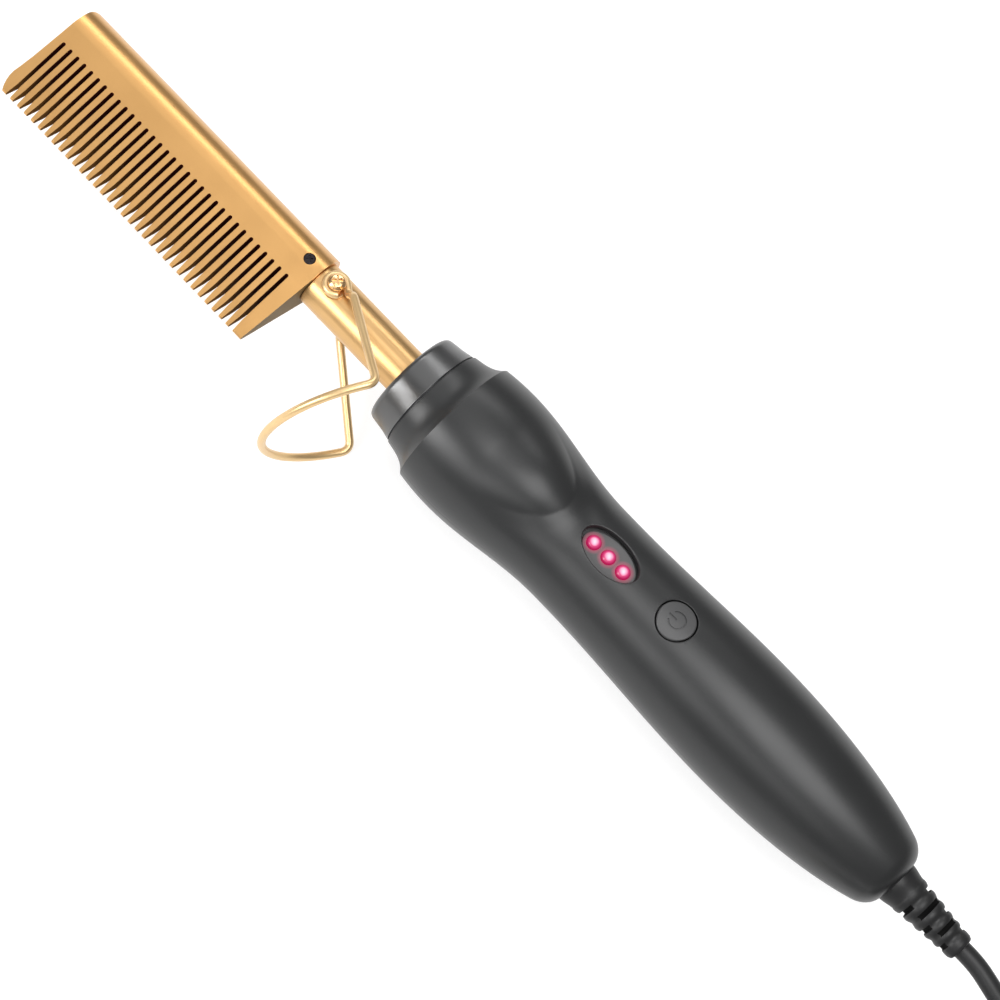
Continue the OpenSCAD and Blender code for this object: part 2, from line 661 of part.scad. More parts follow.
// Places of the pins that pass through the board
pin_r = 0.3;
lead_pitch = 2.54;
chip_size = [5, 4, 1.5];
triac_size = [4, 10, 5.5];
tab_t = 1.0;
capacitor_size = [10, 10, 8];
board_margin = 1;
free_length = board_x[1] - board_margin - button_x - switch_half;
part_gap = (free_length - chip_size[0] - triac_size[0] - tab_t - capacitor_size[0]) / 3;
chip_x = button_x + switch_half + part_gap;
triac_x = chip_x + chip_size[0] + part_gap;
capacitor_x = board_x[1] - board_margin - capacitor_size[0];
triac_low_y = -triac_size[1] * 0.7;
triac_mid = [triac_x + triac_size[0] / 2, triac_low_y + triac_size[1] / 2];
triac_pins = [for (i = [-1:1]) triac_mid + [0, i * lead_pitch]];
lamp_pins = [for (i = [-1:1]) for (s = [-1, 1]) [window_x + i * lamp_pitch + s * 0.64, lamp_y]];
pin_places = concat(triac_pins, lamp_pins);

module pins(places, top) for (p = places) rod_z(p[0], p[1], board_z - 0.8, top, pin_r);

chip_pitch = 1.27;
chip_rows = 4;
leg_w = 0.4;

module controller_chip() color("black") place() {
    translate([chip_x, -chip_size[1] / 2, board_top + 0.2]) cube(chip_size);
    for (m = [0, 1]) mirror([0, m, 0]) for (i = [0:chip_rows - 1]) {
        x = chip_x + chip_size[0] / 2 + (i - (chip_rows - 1) / 2) * chip_pitch - leg_w / 2;
        translate([x, chip_size[1] / 2 - 0.1, board_top + 0.6]) cube([leg_w, 1.2, 0.2]);
        translate([x, chip_size[1] / 2 + 0.6, board_top]) cube([leg_w, 0.5, 0.8]);
    }
}

module triac() color("black") place() {
    translate([triac_x, triac_low_y, board_top + 1.5]) cube(triac_size);
    translate([triac_x + triac_size[0] - 0.1, triac_low_y, board_top + 1.5])
        cube([tab_t + 0.1, triac_size[1], triac_size[2] + 0.5]);
    pins(triac_pins, board_top + 1.6);
}

module dropper_capacitor() color("goldenrod") place()
    translate([capacitor_x, -capacitor_size[1] / 2, board_top]) cube(capacitor_size);

// Ceramic bushing that closes the rear of the neck and carries the leads
module heat_bushing() color("white") place() difference() {
    union() {
        rod_x(neck_rear_x - 4, neck_rear_x + 0.5, neck_inner_r - 0.05);
        rod_x(neck_rear_x, bushing_end_x, neck_r + 1.9);
    }
    for (s = [-1, 1]) {
        bore(s * heater_lead_y, s * heater_lead_z, heater_lead_r + 0.1);
        bore(0, s * sensor_z, sensor_lead_r + 0.1);
    }
}

module bore(y, z, r) rod_x_at(neck_rear_x - 5, bushing_end_x + 1, y, z, r);

bushing_end_x = neck_rear_x + 1.5;
heater_lead_r = 0.7;
heater_lead_y = 2.2;
heater_lead_z = stack_half + strip_t / 2;
sensor_lead_r = 0.5;

// ---- wiring ----
spread_x = neck_rear_x + 10;
heater_run_y = 6;
sensor_run_y = 8;
mains_lead_r = 0.6;
mains_run_y = 5.4;

// Last points of a lead that turns up from its run and ends square under the board
function riser(x, y, z, way) = [
    [x - way * 2.2, y, z], [x - way * 0.9, y, z + 0.25], [x - way * 0.15, y, z + 0.95],
    [x, y, z + 1.7], [x, y, board_z - 0.02]
];
function heater_route(s) = concat(
    [[heater_start_x, s * heater_lead_y, s * heater_lead_z]],
    [[bushing_end_x + 0.5, s * heater_lead_y, s * heater_lead_z], [spread_x, s * heater_run_y, 0]],
    riser(board_x[0] + 8, s * heater_run_y, 0, 1)
);
module heater_leads() color("white") place() for (s = [-1, 1]) swept(heater_route(s), heater_lead_r, 8);

upper_sensor_route = [
    [heater_start_x, 0, sensor_z], [bushing_end_x + 0.5, 0, sensor_z],
    [spread_x, sensor_run_y, board_z + board_t / 2], [board_x[0], sensor_run_y, board_z + board_t / 2]
];
lower_sensor_route = concat(
    [[heater_start_x, 0, -sensor_z], [bushing_end_x + 0.5, 0, -sensor_z]],
    [[spread_x, -sensor_run_y, -sensor_z]],
    riser(board_x[0] + 4, -sensor_run_y, -sensor_z, 1)
);
module sensor_leads() color("red") place() {
    swept(upper_sensor_route, sensor_lead_r, 8);
    swept(lower_sensor_route, sensor_lead_r, 8);
}

function mains_route(s) = concat(
    [[cord_start_x - 0.02, s * 1.1, 0], [cord_start_x - 1, s * 1.1, 0]],
    [[cord_start_x - 4, s * mains_run_y, 0]],
    riser(board_x[1] - 1.6, s * mains_run_y, 0, -1)
);
module mains_leads() color("blue") place() for (s = [-1, 1]) swept(mains_route(s), mains_lead_r, 8);

// ---- cord outlet ----
clamp_thread_r = 0.8;
clamp_shank_r = 1.0;
clamp_head_r = 1.9;

module cord_clamp() color("white") place() difference() {
    box([clamp_x[0], -clamp_half, 0], [clamp_x[1], clamp_half, clamp_height]);
    rod_x(clamp_x[0] - 1, clamp_x[1] + 1, cord_r + 0.02);
    for (y = [-1, 1]) rod_z(clamp_mid_x, y * clamp_screw_y, -1, clamp_height + 1, clamp_shank_r + 0.05);
}

module clamp_screws() color("silver") place() for (y = [-1, 1])
    translate([clamp_mid_x, y * clamp_screw_y, 0]) rotate_extrude($fn = 32) polygon([
        [0, -clamp_height - 1.5], [clamp_thread_r, -clamp_height - 1], [clamp_thread_r, 0],
        [clamp_shank_r, 0.2], [clamp_shank_r, clamp_height], [clamp_head_r, clamp_height],
        [clamp_head_r, clamp_height + 0.7], [clamp_head_r - 0.5, clamp_height + 1.3],
        [0, clamp_height + 1.5]
    ]);

// Outside radius of the strain relief at a station: a quick neck, then a long even taper
relief_edge_x = handle_length + 0.2;
relief_neck_x = relief_edge_x + 4.2;
relief_tip_r = cord_r + 1.06;
relief_shoulder_r = cord_r + 2.6;
function blend(a, b, t) = a + (b - a) * t;
function relief_r(x) = x < relief_edge_x ? relief_r0
    : x < relief_neck_x
        ? blend(relief_r0, relief_shoulder_r, ease((x - relief_edge_x) / (relief_neck_x - relief_edge_x)))
    : blend(relief_shoulder_r, relief_tip_r, (x - relief_neck_x) / (relief_end_x - relief_neck_x));
relief_tip_edge = 0.4;
relief_stations = concat(
    steps(relief_edge_x, relief_neck_x, 4),
    steps(relief_neck_x, relief_end_x - relief_tip_edge, 3), [relief_end_x - relief_tip_edge]
);
cut_width = 1.0;
cut_depth = 1.4;
side_cuts = [for (t = [0.30, 0.59, 0.843]) handle_length + t * relief_length];
face_cuts = [for (t = [0.445, 0.717]) handle_length + t * relief_length];

// Tapered strain relief whose slots alternate between the sides and the faces
module strain_relief() color("black") place() difference() {
    revolve_x() polygon(concat(
        [[cord_r + 0.05, relief_start_x], [relief_r0, relief_start_x], [relief_r0, relief_flange_x[0]]],
        [[relief_flange_r, relief_flange_x[0]], [relief_flange_r, relief_flange_x[1]]],
        [[relief_r0, relief_flange_x[1]]],
        [for (x = relief_stations) [relief_r(x), x]],
        [[relief_tip_r - relief_tip_edge, relief_end_x], [cord_r + 0.05, relief_end_x]]
    ));
    for (x = side_cuts) for (s = [-1, 1]) relief_cut(x, s);
    for (x = face_cuts) for (s = [-1, 1]) rotate([90, 0, 0]) relief_cut(x, s);
}

module relief_cut(x, s) {
    floor_y = max(relief_r(x) - cut_depth, cord_r + 0.35);
    reach = relief_r0 + 1;
    mirror([0, s > 0 ? 0 : 1, 0])
        box([x - cut_width / 2, floor_y, -reach], [x + cut_width / 2, floor_y + reach, reach]);
}

module cord_stub() color("black") place() rod_x(cord_start_x, relief_end_x, cord_r);

// ---- free cord, in the shared frame ----
layer_gap = 0.55;
coil_x = 203;
lead_end_y = 7.4;
coil_columns = 3;
coil_layers = 3;
column_r = [for (i = [0:coil_columns - 1]) coil_mean_r + (i - 1) * turn_pitch];
layer_z = [for (k = [0:coil_layers]) layer_gap + cord_r + k * turn_pitch];
coil_y = lead_end_y - coil_mean_r;
tail_y = coil_y - column_r[coil_columns - 1];
exit_point = [frame_x + relief_end_x, frame_y, frame_z];

lead_route = [
    exit_point, exit_point + [3, 0, 0], exit_point + [6.5, -0.3, 0], [165.5, 9.25, 25.1],
    [169.5, 8.45, 24.8], [173.5, 7.95, 24.3], [177.5, 7.65, 23.5], [181.5, 7.5, 22.4],
    [185.5, 7.4, 21.2], [189.5, 7.4, 20.0], [193.5, 7.4, 19.0],
    [197.5, 7.4, 18.2], [200.5, 7.4, 17.8], [coil_x, lead_end_y, layer_z[coil_layers]]
];
tail_length = 25;
plug_rear_x = coil_x - tail_length;
plug_axis_z = plug_height / 2;
tail_shares = [0, 0.14, 0.28, 0.4, 0.52, 0.64, 0.76, 0.88, 0.96, 1];
tail_rises = [0, 0.01, 0.08, 0.21, 0.41, 0.63, 0.82, 0.95, 1, 1];
tail_route = [for (i = [0:len(tail_shares) - 1]) [
    coil_x - tail_shares[i] * (tail_length - 0.02), tail_y,
    layer_z[0] + tail_rises[i] * (plug_axis_z - layer_z[0])
]];

module cord_lead() color("black") swept(lead_route, cord_r, 12);

module cord_tail() color("black") swept(tail_route, cord_r, 12);

// One solid of the outer shape of the wound turns, with the last two turns on top
module cord_coil() color("black") translate([coil_x, coil_y, 0]) rotate_extrude() polygon([
    [column_r[0] - cord_r, layer_gap], [column_r[2] + cord_r, layer_gap],
    [column_r[2] + cord_r, layer_z[2] + cord_r], [column_r[1] + cord_r, layer_z[2] + cord_r],
    [column_r[1] + cord_r, layer_z[3] + cord_r], [column_r[0] - cord_r, layer_z[3] + cord_r]
]);

// Band around the bundle of turns on the side away from the plug
tie_half = 3;
tie_wall = 0.5;
tie_x = [sqrt(pow(column_r[0] - cord_r, 2) - pow(tie_half, 2)) - 0.05, column_r[2] + cord_r + 0.05];
tie_top = layer_z[3] + cord_r + 0.05;
module coil_tie() color("black") translate([coil_x, coil_y, 0]) difference() {
    box([tie_x[0] - tie_wall, -tie_half, 0], [tie_x[1] + tie_wall, tie_half, tie_top + tie_wall]);
    box([tie_x[0], -tie_half - 1, layer_gap - 0.05], [tie_x[1], tie_half + 1, tie_top]);
}

// ---- plug ----
plug_neck = 12;
plug_body_length = 22;
plug_neck_x = plug_rear_x - plug_neck;
plug_face_x = plug_neck_x - plug_body_length;
plug_rim = 6;
blade_spacing = 12.7;
blade_size = [16, 1.5, 6.35];
blade_seat = 6;

module plug_blade(s) translate([plug_face_x - blade_size[0], tail_y + s * blade_spacing / 2, plug_axis_z])
    translate([0, -blade_size[1] / 2, -blade_size[2] / 2])
        cube([blade_size[0] + blade_seat, blade_size[1], blade_size[2]]);

module plug_body() color("black") difference() {
    union() {
        translate([0, tail_y, plug_axis_z]) {
            along_x(plug_face_x, plug_face_x + plug_rim) plug_section(plug_width, plug_height);
            along_x(plug_face_x + plug_rim - 0.1, plug_neck_x)
                plug_section(plug_width - 3, plug_height - 2);
            revolve_x() polygon([
                [0, plug_neck_x - 1], [5.2, plug_neck_x - 1], [4.4, plug_neck_x + 5],
                [3.8, plug_rear_x - 0.6], [3.2, plug_rear_x], [0, plug_rear_x]
            ]);
        }
    }
    for (s = [-1, 1]) plug_blade(s);
}

module plug_section(w, h) polygon([
    [-w / 2, -h / 2 + 3], [-w / 2 + 3, -h / 2], [w / 2 - 3, -h / 2], [w / 2, -h / 2 + 3],
    [w / 2, h / 2 - 3], [w / 2 - 3, h / 2], [-w / 2 + 3, h / 2], [-w / 2, h / 2 - 3]
]);

module plug_blades() color("silver") for (s = [-1, 1]) plug_blade(s);

comb_head();
heater_spreader();
ptc_tiles();
electrode_plates();
thermistor();
thermal_fuse();
comb_screws();
neck_tube();
pivot_screws();
pivot_washers();
wire_stand();
front_collar();
upper_shell();
lower_shell();
shell_screws();
indicator_plate();
led_lamps();
power_button();
switch_plunger();
tact_switch();
circuit_board();
controller_chip();
triac();
dropper_capacitor();
heat_bushing();
heater_leads();
sensor_leads();
mains_leads();
cord_clamp();
clamp_screws();
strain_relief();
cord_stub();
cord_lead();
cord_coil();
cord_tail();
coil_tie();
plug_body();
plug_blades();
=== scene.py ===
# %% [markdown]
# # An electric hot comb
# The comb is a heated barrel with a wedge blade, a steel neck with a folding wire stand, and a moulded
# handle with a window, a button and a mains cord. The solids come packed as a fixed frame. This notebook
# dresses them: it keeps the solids that already look right and rebuilds the ones that need soft edges.

# %% Load the fixed frame
import math

import bmesh
import bpy
from mathutils import Matrix, Vector


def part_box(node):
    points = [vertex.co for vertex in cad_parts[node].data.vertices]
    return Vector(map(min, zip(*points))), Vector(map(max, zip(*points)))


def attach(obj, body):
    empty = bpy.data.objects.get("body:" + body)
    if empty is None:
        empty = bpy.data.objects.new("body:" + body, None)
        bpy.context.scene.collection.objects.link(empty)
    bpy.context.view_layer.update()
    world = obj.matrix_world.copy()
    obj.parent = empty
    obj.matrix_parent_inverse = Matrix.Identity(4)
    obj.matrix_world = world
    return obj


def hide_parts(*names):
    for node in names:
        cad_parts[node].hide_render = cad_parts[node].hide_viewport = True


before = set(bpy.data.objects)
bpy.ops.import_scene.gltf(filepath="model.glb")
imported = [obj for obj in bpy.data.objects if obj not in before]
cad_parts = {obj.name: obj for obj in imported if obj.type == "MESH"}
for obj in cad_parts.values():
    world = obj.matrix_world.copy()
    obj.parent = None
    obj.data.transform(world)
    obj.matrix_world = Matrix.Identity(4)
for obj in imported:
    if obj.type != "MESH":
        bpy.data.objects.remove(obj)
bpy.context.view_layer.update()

# %% [markdown]
# ## Where things are
# Stations along the handle are counted from a datum plane just ahead of the collar. The frame is in
# metres, so one helper turns a station, a sideways place and a height, all in millimetres, into it.

# %% Stations
MM = 0.001
collar_front = 1.85
collar_low, collar_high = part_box("front_collar")
datum = Vector((collar_low.x - collar_front * MM, (collar_low.y + collar_high.y) / 2,
                (collar_low.z + collar_high.z) / 2))
relief_end = (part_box("strain_relief")[1].x - datum.x) / MM


def at(x, y=0.0, z=0.0):
    return datum + Vector((x, y, z)) * MM


def station(x_m):
    return (x_m - datum.x) / MM


print("datum at", [round(v, 4) for v in datum], "relief ends at station", round(relief_end, 2))

# %% Small helpers


def add_object(name, data):
    made = bpy.data.objects.new(name, data)
    bpy.context.scene.collection.objects.link(made)
    return made


def arc(first, stop, step):
    """Angles in radians for a range of whole degrees."""
    return [math.radians(d) for d in range(first, stop, step)]


def circle(count):
    """Cosine and sine at even steps around a full turn."""
    return [(math.cos(a), math.sin(a)) for a in (2 * math.pi * k / count for k in range(count))]


def feed(tree, node, inputs):
    """Gives each input of a node a value, or links it to the output that feeds it."""
    for label, value in inputs.items():
        if isinstance(value, bpy.types.NodeSocket):
            tree.links.new(value, node.inputs[label])
        else:
            node.inputs[label].default_value = value


def add_node(tree, kind, inputs=None, **settings):
    node = tree.nodes.new(kind)
    for label, value in settings.items():
        setattr(node, label, value)
    feed(tree, node, inputs or {})
    return node


def add_math(tree, operation, *values):
    return add_node(tree, "ShaderNodeMath", dict(enumerate(values)), operation=operation).outputs[0]


def add_sockets(tree, in_out, kinds):
    for label, kind in kinds.items():
        tree.interface.new_socket(name=label, in_out=in_out, socket_type="NodeSocket" + kind)


def new_material(name):
    """A material with nodes, its tree and its Principled shader."""
    made = bpy.data.materials.new(name)
    made.use_nodes = True
    return made, made.node_tree, made.node_tree.nodes["Principled BSDF"]

# %% [markdown]
# ## Camera
# The lens looks down on the button side from far away, turned so that the comb lies across the frame.
# Its direction is worked out from a tilt, a side angle and a roll, and it is made first. The
# cord leaves the picture where its coil begins.

# %% Camera
camera_tilt = math.radians(20.0)
camera_side = math.radians(6.0)
camera_roll = math.radians(46.082)
focal_px = 2700.0
frame_px = 1000.0
camera_place = at(107.25, -226.46, 607.82)

back = Vector((
    math.sin(camera_side),
    -math.cos(camera_side) * math.sin(camera_tilt),
    math.cos(camera_side) * math.cos(camera_tilt),
))
level = (Vector((1, 0, 0)) - back * back.x).normalized()
rise = back.cross(level)
right = math.cos(camera_roll) * level + math.sin(camera_roll) * rise
up = back.cross(right)
camera_data = bpy.data.cameras.new("camera")
camera_data.sensor_width = 36.0
camera_data.lens = focal_px / frame_px * camera_data.sensor_width
camera_data.clip_start = 0.01
camera = add_object("camera", camera_data)
camera.matrix_world = Matrix((right, up, back)).transposed().to_4x4()
camera.location = camera_place
bpy.context.scene.camera = camera
print("lens", round(camera_data.lens, 1), "mm at", [round(v, 3) for v in camera_place])

# %% [markdown]
# ## Studio
# Matt plastic and satin metal are shown by what they reflect. Six soft lamps make the long highlights: two
# for the comb, two along the handle, and one each for its shoulder and its collar. The world adds a plain
# pale fill. The floor is white to the camera and keeps a soft shadow.

# %% World
world = bpy.data.worlds.new("studio")
bpy.context.scene.world = world
world.use_nodes = True
feed(world.node_tree, world.node_tree.nodes["Background"], {"Color": (1.0, 1.0, 1.0, 1), "Strength": 0.22})
bpy.context.scene.view_settings.view_transform = "Standard"

# %% Lamps
soft_lamps = [  # name, place and aim in millimetres from the datum, size in metres, glow
    ("comb_panel", (-345, 90, 600), (-75, -10, 0), (0.5, 0.56), 0.9),
    ("comb_strip", (-300, 440, 520), (-75, 0, 0), (0.54, 0.18), 4.2),
    ("handle_top", (205, -60, 620), (100, 0, 0), (0.42, 0.42), 5.2),
    ("handle_side", (190, -520, 420), (100, 0, 0), (0.40, 0.18), 2.0),
    ("shoulder_side", (-90, -500, 390), (24, 0, 0), (0.18, 0.26), 4.0),
    ("collar_side", (-300, -510, 360), (10, 0, 0), (0.20, 0.36), 11.0),
]


def soft_lamp(name, place, aim, size, brightness):
    data = bpy.data.lights.new(name, "AREA")
    data.shape = "RECTANGLE"
    data.size, data.size_y = size
    data.energy = brightness * math.pi * size[0] * size[1]
    made = add_object(name, data)
    made.location = at(*place)
    made.rotation_mode = "QUATERNION"
    made.rotation_quaternion = (at(*aim) - at(*place)).to_track_quat("-Z", "Y")


for values in soft_lamps:
    soft_lamp(*values)
print("lamps:", len(soft_lamps))

# %% Floor
floor_half, floor_drop, floor_lift = 3.0, 0.0002, 0.68
floor_mesh = bpy.data.meshes.new("floor")
floor_mesh.from_pydata(
    [(-floor_half, -floor_half, 0), (floor_half, -floor_half, 0),
     (floor_half, floor_half, 0), (-floor_half, floor_half, 0)],
    [], [(0, 1, 2, 3)],
)
floor = add_object("floor", floor_mesh)
floor.location.z = -floor_drop
floor_paint, floor_tree, floor_shader = new_material("floor_paint")
rays = add_node(floor_tree, "ShaderNodeLightPath").outputs
seen = add_math(floor_tree, "ADD", rays["Is Camera Ray"], rays["Is Glossy Ray"])
through = add_math(floor_tree, "ADD", seen, rays["Is Transmission Ray"])
feed(floor_tree, floor_shader, {
    "Base Color": (0.45, 0.45, 0.45, 1), "Roughness": 0.9, "Emission Color": (1.0, 1.0, 1.0, 1),
    "Emission Strength": add_math(floor_tree, "MULTIPLY", through, floor_lift)})
floor_mesh.materials.append(floor_paint)
print("floor ready")

# %% [markdown]
# ## Shared surface effects
# Moulded plastic, sprayed coatings and drawn metal all have a fine grain. One node group makes a colour,
# a roughness and a height from grain on Object coordinates, and a second one draws the long scratches of
# polished wire and turned metal. Each material sets them with its own values.

# %% Node groups


def surface_group(name, own_inputs, pattern):
    """Group whose pattern gives a colour between two shades, a roughness and a height."""
    group = bpy.data.node_groups.new(name, "ShaderNodeTree")
    add_sockets(group, "INPUT", {"Vector": "Vector", **own_inputs, "Dark": "Color", "Light": "Color",
                                 "Rough Low": "Float", "Rough High": "Float"})
    add_sockets(group, "OUTPUT", {"Color": "Color", "Roughness": "Float", "Height": "Float"})
    given = group.nodes.new("NodeGroupInput").outputs
    shade, level, height = pattern(group, given)
    tint = add_node(group, "ShaderNodeMix", {
        "Factor": shade, "A": given["Dark"], "B": given["Light"]}, data_type="RGBA")
    rough = add_node(group, "ShaderNodeMapRange", {
        "Value": level, "From Min": 0.3, "From Max": 0.7,
        "To Min": given["Rough Low"], "To Max": given["Rough High"]})
    add_node(group, "NodeGroupOutput", {
        "Color": tint.outputs["Result"], "Roughness": rough.outputs["Result"], "Height": height})
    return group


def noise(group, place, scale, detail):
    return add_node(group, "ShaderNodeTexNoise", {
        "Vector": place, "Scale": scale, "Detail": detail}).outputs["Fac"]


def grain_pattern(group, given):
    grain = noise(group, given["Vector"], given["Grain Scale"], 3.0)
    cloud = noise(group, given["Vector"], given["Cloud Scale"], 4.0)
    grain_share = 0.45
    cloudy = add_math(group, "MULTIPLY", cloud, 1 - grain_share)
    return add_math(group, "MULTIPLY_ADD", grain, grain_share, cloudy), cloud, grain


def streak_pattern(group, given):
    stretch = add_node(group, "ShaderNodeVectorMath", {
        0: given["Vector"], 1: given["Along"]}, operation="MULTIPLY")
    return (noise(group, stretch.outputs["Vector"], 1.0, 4.0),) * 3


fine_grain = surface_group("fine_grain", {"Grain Scale": "Float", "Cloud Scale": "Float"}, grain_pattern)
drawn_streaks = surface_group("drawn_streaks", {"Along": "Vector"}, streak_pattern)
print("groups:", fine_grain.name, drawn_streaks.name)

# %% [markdown]
# ## Finishes
# Every finish below is one material. The Principled shader stays in the material; the groups only feed
# its colour, roughness and bump, so that a baked copy keeps them.

# %% Material helpers


def grain(grain_scale, cloud_scale):
    return fine_grain, {"Grain Scale": grain_scale, "Cloud Scale": cloud_scale}


def streaks(*along):
    return drawn_streaks, {"Along": along}


def finish(name, effect, dark, light, rough, metallic=0.0, bump_mm=0.01, **constants):
    """Material from a surface effect, two shades, a range of roughness and constants of the shader."""
    made, tree, shader = new_material(name)
    group, values = effect
    surface = add_node(tree, "ShaderNodeGroup", node_tree=group)
    feed(tree, surface, {
        "Vector": add_node(tree, "ShaderNodeTexCoord").outputs["Object"], **values,
        "Dark": (*dark, 1), "Light": (*light, 1), "Rough Low": rough[0], "Rough High": rough[1]})
    bump = add_node(tree, "ShaderNodeBump", {
        "Strength": 1.0, "Distance": bump_mm * MM, "Height": surface.outputs["Height"]})
    feed(tree, shader, {
        "Base Color": surface.outputs["Color"], "Roughness": surface.outputs["Roughness"],
        "Normal": bump.outputs["Normal"], "Metallic": metallic})
    feed(tree, shader, {label.replace("_", " "): value for label, value in constants.items()})
    return made


def shade_along_y(material, unshaded_y, dark_y, shade_colour):
    """Painted shade: the colour turns into the shade colour between two places across the comb, in metres.
    """
    tree = material.node_tree
    base = tree.nodes["Principled BSDF"].inputs["Base Color"]
    place = add_node(tree, "ShaderNodeTexCoord").outputs["Object"]
    across = add_node(tree, "ShaderNodeSeparateXYZ", {"Vector": place}).outputs["Y"]
    share = add_node(tree, "ShaderNodeMapRange", {"Value": across, "From Min": unshaded_y, "From Max": dark_y})
    turn = add_node(tree, "ShaderNodeMix", {
        "Factor": share.outputs["Result"], "A": base.links[0].from_socket, "B": (*shade_colour, 1)},
        data_type="RGBA")
    tree.links.new(turn.outputs["Result"], base)


# %% The finishes
gold_coat = finish("gold_coat", grain(5200, 90), (0.62, 0.33, 0.105), (0.74, 0.42, 0.15), (0.30, 0.35),
                   0.9, 0.006, Coat_Weight=0.4, Coat_Roughness=0.35)
# Painted shade: the slot walls are a matt dark brown instead of gold, darkening further towards the slot
# roots.
slot_walls = finish("slot_walls", grain(5200, 90), (0.15, 0.062, 0.010), (0.21, 0.095, 0.018), (0.8, 0.9),
                    0.0, 0.006, Specular_IOR_Level=0.08)
shade_along_y(slot_walls, at(0, -20.5).y, at(0, -14).y, (0.040, 0.003, 0.001))
# Painted shade: the blade's end face towards the handle is a dull dark brown instead of gold.
blade_end = finish("blade_end", grain(5200, 90), (0.17, 0.115, 0.05), (0.24, 0.17, 0.08), (0.5, 0.6),
                   0.4, 0.006, Specular_IOR_Level=0.2)
gold_neck = finish("gold_neck", streaks(60, 2200, 2200), (0.60, 0.36, 0.15), (0.74, 0.48, 0.22),
                   (0.32, 0.40), 1.0, 0.003)
gold_wire = finish("gold_wire", grain(2500, 120), (0.72, 0.48, 0.22), (0.84, 0.61, 0.33), (0.28, 0.36),
                   0.68, 0.002)
gold_screw = finish("gold_screw", grain(2500, 200), (0.78, 0.48, 0.22), (0.88, 0.58, 0.30), (0.22, 0.3),
                    1.0, 0.003)
black_screw = finish("black_screw", grain(3000, 300), (0.014, 0.012, 0.013), (0.045, 0.038, 0.040),
                     (0.3, 0.4), 0.9, 0.003)
handle_skin = finish("handle_skin", grain(3800, 70), (0.016, 0.0165, 0.017), (0.024, 0.0245, 0.025),
                     (0.34, 0.38), 0.0, 0.005, Specular_IOR_Level=0.45)
collar_skin = finish("collar_skin", grain(3800, 70), (0.018, 0.0185, 0.019), (0.027, 0.0275, 0.028),
                     (0.28, 0.32), 0.0, 0.004, Specular_IOR_Level=0.6, IOR=1.8)
button_skin = finish("button_skin", grain(3800, 90), (0.050, 0.050, 0.051), (0.062, 0.062, 0.063),
                     (0.40, 0.46), 0.0, 0.006)
window_skin = finish("window_skin", grain(3000, 150), (0.065, 0.065, 0.066), (0.095, 0.095, 0.096),
                     (0.42, 0.5), 0.0, 0.006)
cord_skin = finish("cord_skin", grain(2500, 120), (0.014, 0.014, 0.0145), (0.022, 0.022, 0.0225),
                   (0.42, 0.50), Specular_IOR_Level=0.35)
relief_skin = finish("relief_skin", grain(2500, 150), (0.013, 0.013, 0.0135), (0.021, 0.021, 0.0215),
                     (0.40, 0.48), Specular_IOR_Level=0.35)
# Painted shade: the inside of the sleeve's slots is a near black, fully matt finish.
relief_slots = finish("relief_slots", grain(2500, 150), (0.003,) * 3, (0.006,) * 3, (0.85, 0.95),
                      Specular_IOR_Level=0.1)
blade_metal = finish("blade_metal", streaks(60, 2500, 1800), (0.62, 0.58, 0.48), (0.78, 0.74, 0.64),
                     (0.2, 0.3), 1.0, 0.003)
plain_steel = finish("plain_steel", streaks(1500, 1500, 200), (0.45, 0.45, 0.46), (0.62, 0.62, 0.63),
                     (0.25, 0.35), 1.0, 0.003)
bare_aluminium = finish("bare_aluminium", streaks(60, 1800, 1800), (0.58, 0.59, 0.61), (0.74, 0.75, 0.77),
                        (0.3, 0.4), 1.0, 0.003)
copper_strip = finish("copper_strip", streaks(60, 1800, 1800), (0.60, 0.30, 0.17), (0.80, 0.45, 0.28),
                      (0.3, 0.4), 1.0, 0.003)
pale_ceramic = finish("pale_ceramic", grain(2000, 200), (0.70, 0.67, 0.60), (0.82, 0.80, 0.75), (0.35, 0.5))
dark_ceramic = finish("dark_ceramic", grain(2000, 200), (0.05, 0.045, 0.04), (0.09, 0.08, 0.075),
                      (0.4, 0.55))
board_mask = finish("board_mask", grain(1500, 250), (0.02, 0.14, 0.06), (0.03, 0.22, 0.09), (0.25, 0.35))
yellow_case = finish("yellow_case", grain(2500, 250), (0.55, 0.36, 0.06), (0.68, 0.46, 0.10), (0.35, 0.45))
red_sleeve = finish("red_sleeve", grain(2500, 250), (0.42, 0.04, 0.03), (0.55, 0.06, 0.05), (0.35, 0.45))
blue_sleeve = finish("blue_sleeve", grain(2500, 250), (0.04, 0.09, 0.35), (0.06, 0.13, 0.48), (0.35, 0.45))
print("finishes:", len(bpy.data.materials))

# %% [markdown]
# ## The free cord
# The cord is one round line from the strain relief to the plug. Out of the picture the unused length is
# wound into a small coil, three turns wide and three layers high with two turns on top. A curve with a
# round bevel is the natural way to make it: the lead and the tail are listed points, and the
# turns are worked out by a loop that shifts sideways or down in the last part of each turn.

# %% Cord route
cord_d = 4.8
turn_pitch = 4.9
layer_gap = 0.55
coil_mean_r = 26.8
coil_x = 203.0
lead_end_y = 7.4
coil_y = lead_end_y - coil_mean_r
column_r = [coil_mean_r - turn_pitch, coil_mean_r, coil_mean_r + turn_pitch]
layer_z = [layer_gap + cord_d / 2 + k * turn_pitch for k in range(4)]
tail_y = coil_y - column_r[2]
tail_length = 25.0
plug_height = 15.0
plug_axis_z = plug_height / 2

